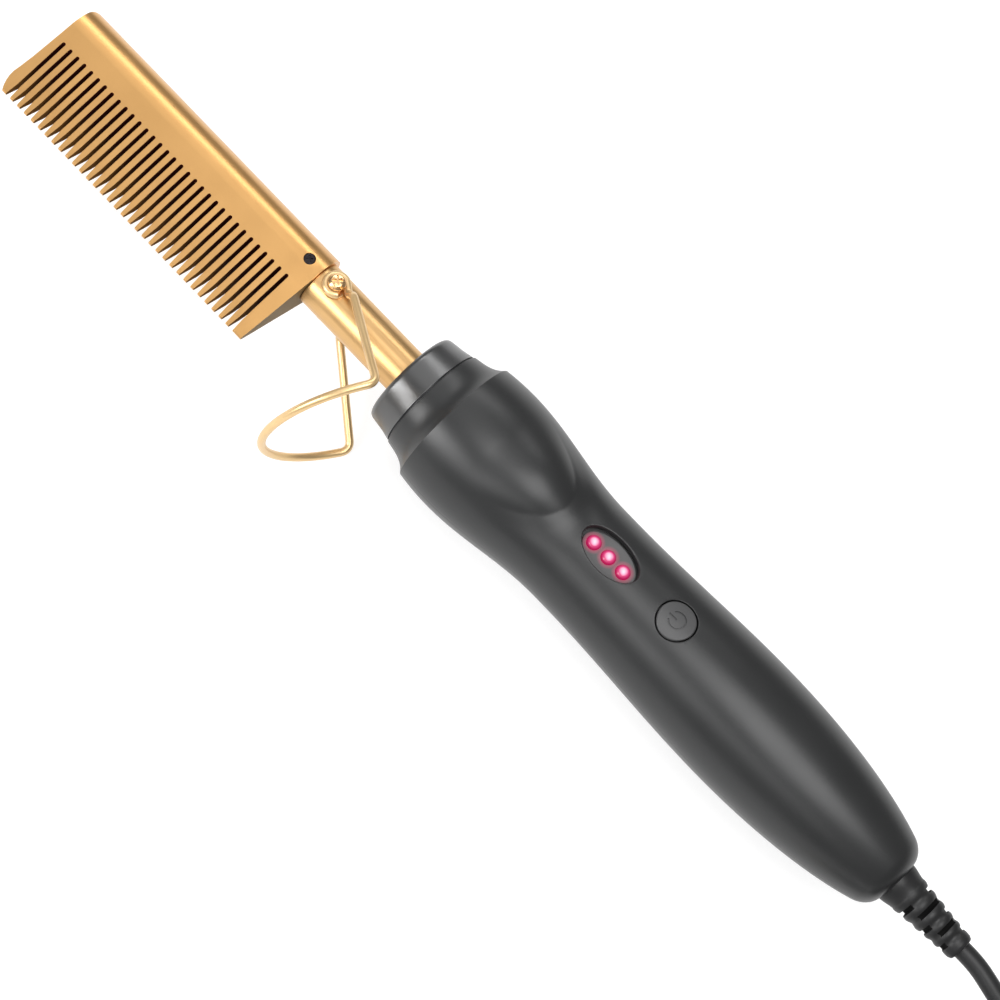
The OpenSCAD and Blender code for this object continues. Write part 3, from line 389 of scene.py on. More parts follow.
cord_exit = at(relief_end) / MM
lead_route = [
    (cord_exit.x, cord_exit.y, cord_exit.z), (cord_exit.x + 3, cord_exit.y, cord_exit.z),
    (cord_exit.x + 6.5, cord_exit.y - 0.3, cord_exit.z), (165.5, 9.25, 25.1),
    (169.5, 8.45, 24.8), (173.5, 7.95, 24.3), (177.5, 7.65, 23.5), (181.5, 7.5, 22.4),
    (185.5, 7.4, 21.2), (189.5, 7.4, 20.0), (193.5, 7.4, 19.0), (197.5, 7.4, 18.2), (200.5, 7.4, 17.8),
]
tail_shares = [0.14, 0.28, 0.4, 0.52, 0.64, 0.76, 0.88, 0.96, 1.0]
tail_rises = [0.01, 0.08, 0.21, 0.41, 0.63, 0.82, 0.95, 1.0, 1.0]
turn_places = [(1, 3), (0, 3), (0, 2), (1, 2), (2, 2), (2, 1), (1, 1), (0, 1), (0, 0), (1, 0), (2, 0)]
steps_a_turn = 30
shift_share = 0.14


def ease(t):
    return (1 - math.cos(math.pi * min(max(t, 0.0), 1.0))) / 2


def coil_route():
    route = []
    for i, (column, layer) in enumerate(turn_places):
        after = turn_places[min(i + 1, len(turn_places) - 1)]
        steps = steps_a_turn if i < len(turn_places) - 1 else steps_a_turn // 2
        for k in range(steps):
            share = ease((k / steps_a_turn - 1 + shift_share) / shift_share)
            radius = column_r[column] + share * (column_r[after[0]] - column_r[column])
            height = layer_z[layer] + share * (layer_z[after[1]] - layer_z[layer])
            angle = math.pi / 2 - 2 * math.pi * k / steps_a_turn
            route.append((coil_x + radius * math.cos(angle), coil_y + radius * math.sin(angle), height))
    return route


tail_route = [(coil_x, tail_y, layer_z[0])] + [
    (coil_x - share * tail_length, tail_y, layer_z[0] + lift * (plug_axis_z - layer_z[0]))
    for share, lift in zip(tail_shares, tail_rises)
]
cord_route = [Vector(p) * MM for p in lead_route + coil_route() + tail_route]
run = sum((b - a).length for a, b in zip(cord_route, cord_route[1:]))
print("cord points:", len(cord_route), "run:", round(run, 3), "m")

# %% Cord curve
cord_line = bpy.data.curves.new("mains_cord", "CURVE")
cord_line.dimensions = "3D"
cord_line.resolution_u = 3
cord_line.bevel_depth = cord_d / 2 * MM
cord_line.bevel_resolution = 5
cord_line.use_fill_caps = True
cord_spline = cord_line.splines.new("BEZIER")
cord_spline.bezier_points.add(len(cord_route) - 1)
for knot, place in zip(cord_spline.bezier_points, cord_route):
    knot.co = place
    knot.handle_left_type = knot.handle_right_type = "AUTO"
cord_line.materials.append(cord_skin)
mains_cord = add_object("mains_cord", cord_line)

# %% [markdown]
# ## Helpers for solid pieces
# Most pieces are turned or moulded, so a lathe, a stack of rings and a tube along a path cover them. Sharp
# edges never look real, so corners are rounded in the outline, or by a bevel after the cuts.

# %% Piece helpers


def smooth(piece, degrees):
    for face in piece.data.polygons:
        face.use_smooth = True
    piece.data.set_sharp_from_angle(angle=math.radians(degrees))


def new_piece(name, points, faces, material, degrees=35.0):
    mesh = bpy.data.meshes.new(name)
    mesh.from_pydata([at(*p) for p in points], [], faces)
    work = bmesh.new()
    work.from_mesh(mesh)
    bmesh.ops.remove_doubles(work, verts=work.verts, dist=2e-6)
    bmesh.ops.dissolve_degenerate(work, edges=work.edges, dist=1e-6)
    bmesh.ops.recalc_face_normals(work, faces=work.faces)
    if work.calc_volume(signed=True) < 0:
        bmesh.ops.reverse_faces(work, faces=work.faces)
    work.to_mesh(mesh)
    work.free()
    mesh.materials.append(material)
    piece = add_object(name, mesh)
    smooth(piece, degrees)
    return piece


def settle(piece):
    """The modifiers become plain mesh."""
    graph = bpy.context.evaluated_depsgraph_get()
    result = bpy.data.meshes.new_from_object(piece.evaluated_get(graph))
    piece.modifiers.clear()
    before = piece.data
    piece.data = result
    bpy.data.meshes.remove(before)
    result.name = piece.name


def change(piece, kind, **settings):
    """One modifier is added, set and settled."""
    step = piece.modifiers.new("change", kind)
    for label, value in settings.items():
        setattr(step, label, value)
    settle(piece)


def cut(piece, tool, operation="DIFFERENCE"):
    change(piece, "BOOLEAN", operation=operation, solver="MANIFOLD", object=tool)
    bpy.data.objects.remove(tool)


def soften(piece, width, segments=2, degrees=35.0):
    change(piece, "BEVEL", width=width * MM, segments=segments, limit_method="ANGLE",
           angle_limit=math.radians(degrees), use_clamp_overlap=True)
    smooth(piece, degrees)


def belongs(piece, body, slot, *nodes):
    """The finished piece stands in for its nodes and rides on a body.

    Its normals are weighted by face area, so that a thin rounded edge doesn't bend the light on a side.
    """
    if piece.type == "MESH":
        change(piece, "WEIGHTED_NORMAL", keep_sharp=True)
    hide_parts(*nodes)
    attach(piece, body)
    print(piece.name, "faces:", len(piece.data.polygons) if piece.type == "MESH" else "curve")


# %% Rings, lathe and rounded outline


def between(i, j, count):
    """Faces that join ring i to ring j, each with the same number of points."""
    return [(i * count + k, i * count + (k + 1) % count, j * count + (k + 1) % count, j * count + k)
            for k in range(count)]


def stack(name, rings, material, degrees=35.0):
    """Closed solid through rings that all have the same number of points."""
    count, last = len(rings[0]), len(rings) - 1
    faces = [tuple(range(count)), tuple(range(last * count, (last + 1) * count))]
    faces += [face for i in range(last) for face in between(i, i + 1, count)]
    return new_piece(name, [p for ring in rings for p in ring], faces, material, degrees)


def round_corners(outline, steps=4):
    """Closed outline of (along, radius, corner) with each corner replaced by an arc."""
    rounded = []
    count = len(outline)
    for i, (x, r, corner) in enumerate(outline):
        here = Vector((x, r))
        before = Vector(outline[i - 1][:2]) - here
        after = Vector(outline[(i + 1) % count][:2]) - here
        if corner <= 0:
            rounded.append((x, r))
            continue
        half = before.angle(after) / 2
        reach = min(corner / math.tan(half), 0.45 * before.length, 0.45 * after.length)
        start, end = here + before.normalized() * reach, here + after.normalized() * reach
        rounded += [tuple(p) for p in bend(start, here, end, steps)]
    return rounded


def bend(start, corner, end, steps):
    """Points of a curve that leaves one straight line and joins the next."""
    shares = [k / steps for k in range(steps + 1)]
    return [start * (1 - t) ** 2 + corner * (2 * t * (1 - t)) + end * t**2 for t in shares]


def lathe(name, outline, material, middle=(0, 0, 0), axis="x", sides=96, degrees=35.0):
    """Closed (along, radius) outline turned about an axis."""
    points, faces = [], []
    for along, radius in outline:
        for c, s in circle(sides):
            u, v = radius * c, radius * s
            local = (along, u, v) if axis == "x" else (u, v, along)
            points.append([part + shift for part, shift in zip(local, middle)])
    for i in range(len(outline)):
        j = (i + 1) % len(outline)
        if max(outline[i][1], outline[j][1]) > 1e-9:
            faces += between(i, j, sides)
    return new_piece(name, points, faces, material, degrees)


def prism(name, outline, low, high, material):
    """Flat outline of (x, y) points raised from one height to another."""
    return stack(name, [[(x, y, z) for x, y in outline] for z in (low, high)], material)


def block(name, low, high, material):
    corners = [(low[0], low[1]), (high[0], low[1]), (high[0], high[1]), (low[0], high[1])]
    return prism(name, corners, low[2], high[2], material)


def drum(name, axis, low, high, radius, material, middle=(0, 0, 0), sides=48):
    return lathe(name, [(low, 0), (low, radius), (high, radius), (high, 0)], material, middle, axis, sides)


# %% Tube along a path


def tube(name, path, radius, sides, material, edge=0.25):
    """Round bar along a path of points, with slightly rounded ends; the ring frame is carried along."""
    last = len(path) - 1
    ways = []
    for i in range(last + 1):
        back_way = (path[i] - path[max(i - 1, 0)]).normalized()
        fore_way = (path[min(i + 1, last)] - path[i]).normalized()
        ways.append((back_way + fore_way).normalized())
    normal = ways[0].orthogonal().normalized()
    rings = []
    for i, (place, way) in enumerate(zip(path, ways)):
        normal = (normal - way * normal.dot(way)).normalized()
        side = way.cross(normal)
        if i not in (0, last):
            rings.append((place, normal, side, radius))
            continue
        out = -way if i == 0 else way
        ends = [(place - out * edge, radius), (place - out * edge * 0.3, radius - edge * 0.3),
                (place, radius - edge), (place, 0.0)]
        rings += [(c, normal, side, r) for c, r in (ends[::-1] if i == 0 else ends)]
    points = [place + r * (c * n + s * side) for place, n, side, r in rings for c, s in circle(sides)]
    faces = [face for i in range(len(rings) - 1) for face in between(i, i + 1, sides)]
    return new_piece(name, points, faces, material)


# %% [markdown]
# ## Repeated pieces by Geometry Nodes
# Slots, lamps and plug blades repeat along a line. One small tree puts copies of a piece on the points of
# a line: the piece, the number, the step and the finish are inputs, so each use only sets its own values.
# The result is turned into a plain mesh, because copies made by a modifier don't leave this file.

# %% Row tree


def row_tree():
    tree = bpy.data.node_groups.new("row_of_copies", "GeometryNodeTree")
    add_sockets(tree, "INPUT", {"Source": "Object", "Count": "Int", "Step": "Vector", "Finish": "Material"})
    add_sockets(tree, "OUTPUT", {"Geometry": "Geometry"})
    given = tree.nodes.new("NodeGroupInput").outputs
    line = add_node(tree, "GeometryNodeMeshLine", {"Count": given["Count"], "Offset": given["Step"]},
                    mode="OFFSET")
    source = add_node(tree, "GeometryNodeObjectInfo", {"Object": given["Source"]})
    copies = add_node(tree, "GeometryNodeInstanceOnPoints", {
        "Points": line.outputs["Mesh"], "Instance": source.outputs["Geometry"]})
    real = add_node(tree, "GeometryNodeRealizeInstances", {"Geometry": copies.outputs["Instances"]})
    painted = add_node(tree, "GeometryNodeSetMaterial", {
        "Geometry": real.outputs["Geometry"], "Material": given["Finish"]})
    add_node(tree, "NodeGroupOutput", {"Geometry": painted.outputs["Geometry"]})
    return tree


row_of_copies = row_tree()


def row(name, source, count, step, material, degrees=35.0):
    """Copies of a source piece, the first where the source is, each one step from the last."""
    holder = add_object(name, bpy.data.meshes.new(name))
    made = holder.modifiers.new("row", "NODES")
    made.node_group = row_of_copies
    values = {"Source": source, "Count": count, "Step": tuple(Vector(step) * MM), "Finish": material}
    for item in row_of_copies.interface.items_tree:
        if item.in_out == "INPUT":
            made[item.identifier] = values[item.name]
    settle(holder)
    bpy.data.objects.remove(source)
    smooth(holder, degrees)
    return holder


print("tree:", row_of_copies.name)

# %% [markdown]
# ## Comb head
# The comb is one piece of metal: a round barrel over a wedge blade, milled through by a row of slots with
# round ends. It is built the way a mill makes it. The section is drawn out along the barrel, cut to its
# outline from above, and a row of slot cutters is taken out at once. The heater bore and the screw seats
# follow.

# %% Comb sizes
barrel_r = 7.2
tooth_reach = 24.6
tip_thickness = 1.0
slot_count, slot_pitch, slot_width = 33, 2.5, 1.0
root_depth = 6.3
comb_tip_x, comb_neck_x = (station(end.x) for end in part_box("comb_head"))
first_slot, beside_slot = 4.0, slot_width / 2 + 0.3
heater_r, tip_wall = 5.0, 4.8
seat_depth, seat_r = 0.9, 1.55
comb_screw_x = comb_neck_x - 4.3
wedge_angle = math.atan2(tooth_reach, tip_thickness / 2) - math.acos(
    barrel_r / math.hypot(tooth_reach, tip_thickness / 2))
print("comb from", round(comb_tip_x, 2), "to", round(comb_neck_x, 2),
      "wedge", round(math.degrees(wedge_angle), 2), "degrees")

# %% Comb body


def wedge_half(depth):
    """Half of the wedge's thickness at a depth below the barrel axis."""
    return (barrel_r - depth * math.sin(wedge_angle)) / math.cos(wedge_angle)


def comb_section():
    """Outline across the comb as (y, z): the barrel arc and the two wedge faces."""
    tangent, facets = math.pi / 2 + wedge_angle, 96
    angles = [tangent - k * 2 * tangent / facets for k in range(facets + 1)]
    section = [(barrel_r * math.cos(a), barrel_r * math.sin(a)) for a in angles]
    edge = 0.25
    low = [(-tooth_reach + edge, -wedge_half(tooth_reach - edge)),
           (-tooth_reach, -wedge_half(tooth_reach) + edge)]
    return section + low + [(y, -z) for y, z in reversed(low)]


def comb_outline():
    """Outline from above: a tip edge that bulges near the teeth, and a slightly slanted neck edge."""
    corner, set_back = 3.2, 1.7
    top = barrel_r + 1
    curve = [(comb_tip_x + set_back + corner * (1 - math.cos(a)), barrel_r - corner * (1 - math.sin(a)))
             for a in arc(90, -1, -10)]
    tip = [(1.7, 0), (1.5, -4.5), (1.25, -9.5), (1.0, -14), (0.65, -17.6), (0.4, -19.6), (0.45, -20.8),
           (0.75, -22.2), (1.25, -23.5), (1.9, -24.6), (2.6, -25.6)]
    neck = [(-1.6, -25.6), (-1.3, -22), (0.0, -3), (0.0, top)]
    outline = [(comb_tip_x + set_back + corner, top)] + curve + [(comb_tip_x + x, y) for x, y in tip]
    return outline + [(comb_neck_x + x, y) for x, y in neck]


section = comb_section()
ends = (comb_tip_x - 1, comb_neck_x)
comb = stack("comb_body", [[(x, y, z) for y, z in section] for x in ends], gold_coat)
cut(comb, prism("outline", comb_outline(), -barrel_r - 1, barrel_r + 1, gold_coat), "INTERSECT")
print("comb body faces:", len(comb.data.polygons))

# %% Slots and bores
slot_x = comb_tip_x + first_slot


def slot_outline(x):
    half, flare = slot_width / 2, 0.25
    flare_y = -tooth_reach + 3.5
    left = [(x - half - flare, -tooth_reach - 1), (x - half - flare, -tooth_reach), (x - half, flare_y)]
    root = [(x + half * math.cos(a), -root_depth - half + half * math.sin(a)) for a in arc(180, -1, -15)]
    return left + root + [(2 * x - p[0], p[1]) for p in reversed(left)]


slot_cutter = prism("slot", slot_outline(slot_x), -barrel_r, barrel_r, gold_coat)
cut(comb, row("slots", slot_cutter, slot_count, (slot_pitch, 0, 0), gold_coat))
# Painted shade: the faces of the slot walls are given the dark slot finish.
comb.data.materials.append(slot_walls)
comb.data.materials.append(blade_end)
for face in comb.data.polygons:
    x, y, z = ((face.center - datum) / MM)[:]
    nearest = slot_x + slot_pitch * min(max(round((x - slot_x) / slot_pitch), 0), slot_count - 1)
    beside = abs(x - nearest) < beside_slot and 0.3 - tooth_reach < y < 0.05 - root_depth
    if beside and abs(face.normal.z) < 0.5:
        face.material_index = 1
    # Painted shade: the blade's end face towards the handle gets the dark end finish.
    elif face.normal.x > 0.8 and y < -root_depth:
        face.material_index = 2
cut(comb, drum("bore", "x", comb_tip_x + tip_wall, comb_neck_x + 1, heater_r, gold_coat))
for side in (-1, 1):
    seat = sorted((side * (barrel_r - seat_depth), side * (barrel_r + 1)))
    cut(comb, drum("screw_seat", "z", *seat, seat_r, gold_coat, (comb_screw_x, 0, 0)))
soften(comb, 0.12, 2, 30)
belongs(comb, "handle", "gold_coat", "comb_head")

# %% [markdown]
# ## Set screws
# Two small black screws hold the comb on the neck, one on each face. A lathe makes the head, two thin
# blocks cut the cross, and the second screw is the first one turned over.

# %% Screw helpers


def place_tool(tool, degrees, place):
    """Turns a tool that was made at the datum and moves it to its place."""
    for step in (Matrix.Translation(-datum), Matrix.Rotation(math.radians(degrees), 4, "Z"),
                 Matrix.Translation(place)):
        tool.data.transform(step)


def cross_cut(piece, x, top, length, width, depth):
    for degrees in (45, 135):
        low, high = (-length / 2, -width / 2, top - depth), (length / 2, width / 2, top + 1)
        tool = block("cross", low, high, piece.data.materials[0])
        place_tool(tool, degrees, at(x))
        cut(piece, tool)


def both_faces(name, piece, degrees=35.0):
    """The piece and its copy turned over about the handle axis, as one mesh."""
    twin = piece.data.copy()
    flip = Matrix.Translation(datum) @ Matrix.Diagonal((1, 1, -1, 1)) @ Matrix.Translation(-datum)
    twin.transform(flip)
    twin.flip_normals()
    joined = bmesh.new()
    joined.from_mesh(piece.data)
    joined.from_mesh(twin)
    joined.to_mesh(piece.data)
    joined.free()
    bpy.data.meshes.remove(twin)
    piece.name = piece.data.name = name
    smooth(piece, degrees)
    return piece


# %% Comb set screws
head_top, head_r, head_height, shank_r = barrel_r - 0.05, 1.45, 0.85, 0.85
set_screw = lathe("set_screw", round_corners([
    (4.0, 0, 0), (4.0, shank_r, 0), (head_top - head_height, shank_r, 0),
    (head_top - head_height, head_r, 0), (head_top, head_r, 0.25), (head_top, 0, 0)]),
    black_screw, (comb_screw_x, 0, 0), "z", 48)
cross_cut(set_screw, comb_screw_x, head_top, 1.9, 0.42, 0.45)
soften(set_screw, 0.05, 2, 40)
belongs(both_faces("comb_set_screws", set_screw), "handle", "blackened_steel", "comb_screws")

# %% [markdown]
# ## Neck
# The neck is a thin turned tube between the comb and the collar. It carries the pivots of the stand: a
# saddle washer and a pan head screw on each face.

# %% Neck tube
neck_r, neck_inner_r, spigot_r, heater_end_r = 6.1, 4.9, 4.95, 3.8
spigot_x, narrow_x = comb_neck_x - 9.9, comb_neck_x + 1.8
flange_x, flange_r, neck_end_x = (13.0, 15.0), 9.4, 24.0
neck = lathe("neck_tube_turned", round_corners([
    (spigot_x, heater_end_r, 0), (spigot_x, spigot_r, 0.2), (comb_neck_x, spigot_r, 0),
    (comb_neck_x, neck_r, 0.25), (flange_x[0], neck_r, 0), (flange_x[0], flange_r, 0.2),
    (flange_x[1], flange_r, 0.2), (flange_x[1], neck_r, 0), (neck_end_x, neck_r, 0.2),
    (neck_end_x, neck_inner_r, 0), (narrow_x, neck_inner_r, 0), (narrow_x, heater_end_r, 0)]),
    gold_neck, sides=128)
belongs(neck, "handle", "gold_neck", "neck_tube")

# %% Pivot washers and screws
pivot_x = -25.3
wire_r, eye_r = 1.05, 2.6
washer_top = neck_r + 0.5
eye_z = washer_top + 0.25 + wire_r
head_z = eye_z + wire_r + 0.25
washer_foot, washer_hole_r, washer_r = neck_inner_r + 0.3, 1.1, 3.0
washer = lathe("washer", round_corners([
    (washer_foot, washer_hole_r, 0), (washer_foot, washer_r, 0), (washer_top, washer_r, 0.15),
    (washer_top, washer_hole_r, 0.1)]), gold_screw, (pivot_x, 0, 0), "z", 64)
belongs(both_faces("pivot_washer_pair", washer), "handle", "gold_steel", "pivot_washers")

pan_top, pan_r, bearing_r, thread_r = head_z + 1.7, 2.3, 1.5, 1.0
pan_head = [(head_z, pan_r, 0.15), (head_z + 0.75, pan_r, 0.35), (head_z + 1.4, 1.6, 0.6), (pan_top, 0, 0)]
thread_end = neck_inner_r - 0.6
pan_screw = lathe("pan_screw", round_corners([
    (thread_end, 0, 0), (thread_end, thread_r, 0.1), (washer_top, thread_r, 0), (washer_top, bearing_r, 0),
    (head_z, bearing_r, 0)] + pan_head), gold_screw, (pivot_x, 0, 0), "z", 64, 40)
cross_cut(pan_screw, pivot_x, pan_top, 2.6, 0.55, 0.85)
soften(pan_screw, 0.06, 2, 40)
belongs(both_faces("pivot_pan_screws", pan_screw, 40), "handle", "gold_steel", "pivot_screws")

# %% [markdown]
# ## Wire stand
# The stand is one length of polished wire: an eye around each pivot screw, two legs that step outwards
# and spread to the elbows, and a half round foot between them. The same few sizes give every bend, and a
# tube is drawn along the line they make.

# %% Stand path
leg_reach, leg_angle = 31.8, math.radians(29.9)
stand_half, foot_angle, foot_straight = 24.15, math.radians(118), 1.15
flat_run, step_run, step_half, step_cut, elbow_cut = 2.9, 2.6, 13.5, 1.1, 2.6
leave_angle = leg_angle + math.asin(eye_r / leg_reach)
leave_turn = math.pi / 2 - leave_angle


def eye_point(angle):
    return Vector((pivot_x + eye_r * math.cos(angle), eye_r * math.sin(angle), eye_z))


def foot_point(angle):
    down = Vector((0, 0, math.cos(angle) - 1))
    return elbow + foot_dir * foot_straight + (foot_dir * math.sin(angle) + down) * stand_half


leg_dir = Vector((math.cos(leave_angle), -math.sin(leave_angle), 0))
foot_dir = Vector((math.cos(foot_angle), -math.sin(foot_angle), 0))
elbow = Vector((pivot_x + leg_reach * math.cos(leg_angle), -leg_reach * math.sin(leg_angle), stand_half))
leave_point = eye_point(leave_turn)
step_foot = leave_point + leg_dir * flat_run
step_top = leave_point + leg_dir * (flat_run + step_run) + Vector((0, 0, step_half - eye_z))
step_dir = (step_top - step_foot).normalized()
rise_dir = (elbow - step_top).normalized()

half_stand = [eye_point(leave_turn + a) for a in arc(270, -1, -6)]
half_stand += bend(step_foot - leg_dir * step_cut, step_foot, step_foot + step_dir * step_cut, 8)
half_stand += bend(step_top - step_dir * step_cut, step_top, step_top + rise_dir * step_cut, 8)
half_stand += bend(elbow - rise_dir * elbow_cut, elbow, foot_point(math.radians(3.4)), 14)
half_stand += [foot_point(a) for a in arc(6, 90, 3)]
far_half = [Vector((p.x, p.y, -p.z)) for p in reversed(half_stand)]
stand = tube("wire_stand_bent", half_stand + [foot_point(math.pi / 2)] + far_half, wire_r, 24, gold_wire)
belongs(stand, "stand", "gold_wire", "wire_stand")

# %% [markdown]
# ## Handle shape
# The two halves of the handle are one turned form with a few changes: a flared front band, a sharp
# crease, a round shoulder, a waist, a belly and a rounded end. A function gives the radius at each
# station, and a second one adds the raised tongue with its shallow hollows.

# %% Handle surface
collar_rear, band_r, groove_width = 9.6, 14.5, 0.35
band_x = collar_rear + groove_width
crease_start, crease_end = band_x + 7.85, band_x + 8.15
flare_base, crease_r = 14.7, 18.05
shoulder_r, shoulder_x = 18.65, 27.0
waist_r, waist_start, waist_end = 15.05, 62.0, 66.0
handle_length = 169.6
belly_r, belly_x = 16.65, handle_length - 52.6
tail_span = 62.5
round_length, round_depth = 4.2, 3.0
shell_wall = 2.0
tongue_middle, tongue_end, tongue_half = 20.0, 52.8, 14.9
tongue_height, hollow_depth = 2.4, 0.3
flare_even, flare_lift = 1.35, 1.95


def handle_r(x):
    if x <= crease_start:
        share = max(0.0, x - band_x) / (crease_start - band_x)
        return flare_base + flare_even * share + flare_lift * share**4
    if x < shoulder_x:
        return shoulder_r - (shoulder_r - crease_r) * ((shoulder_x - x) / (shoulder_x - crease_end)) ** 2
    if x < waist_start:
        return shoulder_r + (waist_r - shoulder_r) * ease((x - shoulder_x) / (waist_start - shoulder_x))
    if x < belly_x:
        return waist_r + (belly_r - waist_r) * ease((x - waist_end) / (belly_x - waist_end))
    tail = belly_r * math.sqrt(1 - ((x - belly_x) / tail_span) ** 2)
    past = max(0.0, (x - handle_length + round_length) / round_length)
    return tail - round_depth * (1 - math.sqrt(max(0.0, 1 - past**2)))


def soft_step(t):
    t = min(max(t, 0.0), 1.0)
    return t * t * (3 - 2 * t)


def tongue_rise(x, y):
    """Height of the tongue over the turned form, with a shallow hollow around it."""
    from_middle = math.hypot((x - tongue_middle) / (tongue_end - tongue_middle), y / tongue_half)
    rise = soft_step((x - 31.0) / 18.0) * max(0.0, 1 - from_middle**4)
    hollow = soft_step((x - 33.0) / 10.0) * math.exp(-((from_middle - 1.13) / 0.11) ** 2)
    return tongue_height * rise - hollow_depth * hollow


def surface_z(x, y):
    radius = handle_r(x)
    return math.sqrt(max(0.0, radius**2 - y**2)) + tongue_rise(x, y)


print("radius at the shoulder, waist and belly:", [round(handle_r(x), 2) for x in (27, 64, 117)])

# %% [markdown]
# ## Handle halves
# Each half is a closed shell: an outside skin, an inside skin and a flat seam face. The grid is finer
# at the crease and the tongue, where the light shows every facet. A small dip along the seam leaves the
# fine line where the two halves meet.

# %% Half shell grid
shell_front_x, shell_spigot_r = collar_front + 2.5, 11.6
end_wall_x, relief_hole_r = handle_length - 4.0, 5.8


def spread(low, high, step):
    count = max(1, round((high - low) / step))
    return [low + (high - low) * k / count for k in range(count)]


def shell_outline():
    """Closed outline of (station, radius, is outside skin) from the front spigot around to the cavity."""
    outside = spread(band_x, crease_start, 0.6) + spread(crease_start, crease_end, 0.15)
    outside += spread(crease_end, 30, 0.5) + spread(30, 56, 0.4)
    outside += spread(56, handle_length - round_length, 1.1)
    outside += [handle_length - round_length * (1 - math.sin(a)) for a in arc(0, 91, 9)]
    inside = spread(18.0, end_wall_x, 4.0)[::-1]
    front_part = [(shell_front_x, 9.6), (shell_front_x, shell_spigot_r), (collar_rear, shell_spigot_r),
                  (collar_rear, band_r - 0.6), (band_x, band_r - 0.6), (band_x, band_r - 0.15)]
    back_part = [(handle_length, relief_hole_r + 0.1), (handle_length - 0.1, relief_hole_r),
                 (end_wall_x, relief_hole_r), (end_wall_x, handle_r(end_wall_x) - shell_wall)]
    outline = [(x, r, False) for x, r in front_part]
    outline += [(x + (0.15 if x == band_x else 0), handle_r(x), True) for x in outside]
    outline += [(x, r, False) for x, r in back_part]
    outline += [(x, handle_r(x) - shell_wall, False) for x in inside]
    return outline + [(11.0, 13.2, False), (11.0, 9.6, False)]


def half_shell(name, side):
    """One half: a grid of outline points and angles, with a fine dip along the seam."""
    seam_depth, seam_width = 0.04, 0.6
    outline = shell_outline()
    angles = [0.0, 0.5, 1.0, 1.7, 3.0] + [5.0 + 170.0 * k / 86 for k in range(87)]
    angles += [177.0, 178.3, 179.0, 179.5, 180.0]
    points, faces = [], []
    for x, r, outside in outline:
        for degrees in angles:
            a = math.radians(degrees)
            radius = r
            if outside:
                from_seam = min(degrees, 180.0 - degrees)
                radius += tongue_rise(x, r * math.cos(a)) * math.sin(a) ** 2
                radius -= seam_depth * math.exp(-((from_seam / seam_width) ** 2))
            points.append((x, radius * math.cos(a), side * radius * math.sin(a)))
    wide, rows = len(angles), len(outline)
    for i in range(rows):
        faces += between(i, (i + 1) % rows, wide)[:-1]
    faces += [tuple(i * wide + seam for i in range(rows)) for seam in (0, wide - 1)]
    return new_piece(name, points, faces, handle_skin, 30)


# %% Cutters that round the rim of a hole
window_x, window_length, window_width = 68.0, 16.9, 9.6
button_x, button_d = 90.0, 9.75


def rim_cutter(name, rim, fillet, bottom):
    """Closed cutter for a hole through the skin; rim is a list of (x, y, way out x, way out y)."""
    above = 3.0
    rings = [[(x + nx * fillet, y + ny * fillet, surface_z(x + nx * fillet, y + ny * fillet) + above)
              for x, y, nx, ny in rim]]
    for a in arc(0, 91, 15):
        out, depth = fillet * (1 - math.sin(a)), fillet * (1 - math.cos(a))
        places = [(x + nx * out, y + ny * out) for x, y, nx, ny in rim]
        rings.append([(px, py, surface_z(px, py) - depth) for px, py in places])
    rings.append([(x, y, bottom) for x, y, _, _ in rim])
    return stack(name, rings, handle_skin)


def oval_rim(x, half_long, half_wide):
    rim = []
    for c, s in circle(96):
        nx, ny = c / half_long, s / half_wide
        size = math.hypot(nx, ny)
        rim.append((x + half_long * c, half_wide * s, nx / size, ny / size))
    return rim


# %% Upper half
hole_floor = 6.0
button_hole_r = button_d / 2 + 0.32
upper = half_shell("upper_half", 1)
window_rim = oval_rim(window_x, window_length / 2, window_width / 2)
cut(upper, rim_cutter("window_hole", window_rim, 0.4, hole_floor))
cut(upper, rim_cutter("button_hole", oval_rim(button_x, button_hole_r, button_hole_r), 0.22, hole_floor))
smooth(upper, 30)
belongs(upper, "handle", "handle_plastic", "upper_shell")

# %% Lower half with the screw wells
boss_r, well_r = 4.2, 2.9
lower = half_shell("lower_half", -1)
for x in (44.0, 142.0):
    cut(lower, drum("boss", "z", -handle_r(x) + 0.8, -0.1, boss_r, handle_skin, (x, 0, 0)), "UNION")
    cut(lower, drum("well", "z", -30.0, -6.0, well_r, handle_skin, (x, 0, 0)))
smooth(lower, 30)
belongs(lower, "handle", "handle_plastic", "lower_shell")

# %% [markdown]
# ## Front collar
# The collar is a separate turned ring pushed over the front of the shells. Its front edge is rounded
# and a fine groove is left between it and the handle.

# %% Collar
collar = lathe("collar_ring", round_corners([
    (collar_front, 6.3, 0.2), (collar_front, band_r - 1.35, 1.7), (collar_rear - 2.8, band_r - 0.7, 0),
    (collar_rear, band_r - 0.1, 0.15), (collar_rear, shell_spigot_r + 0.05, 0),
    (collar_front + 2.2, shell_spigot_r + 0.05, 0), (collar_front + 2.2, 6.3, 0)], 8),
    collar_skin, sides=160)
belongs(collar, "handle", "collar_plastic", "front_collar")

# %% [markdown]
# ## Window and lamps
# The oval window is an open recess with a grey plate at its floor, and three small lamps stand in a row
# through it. They glow: the middle of each dome is almost white, then pink, with a deep red edge. The
# colour follows the distance from the lamp's own axis, which is stored in a texture map of the dome.

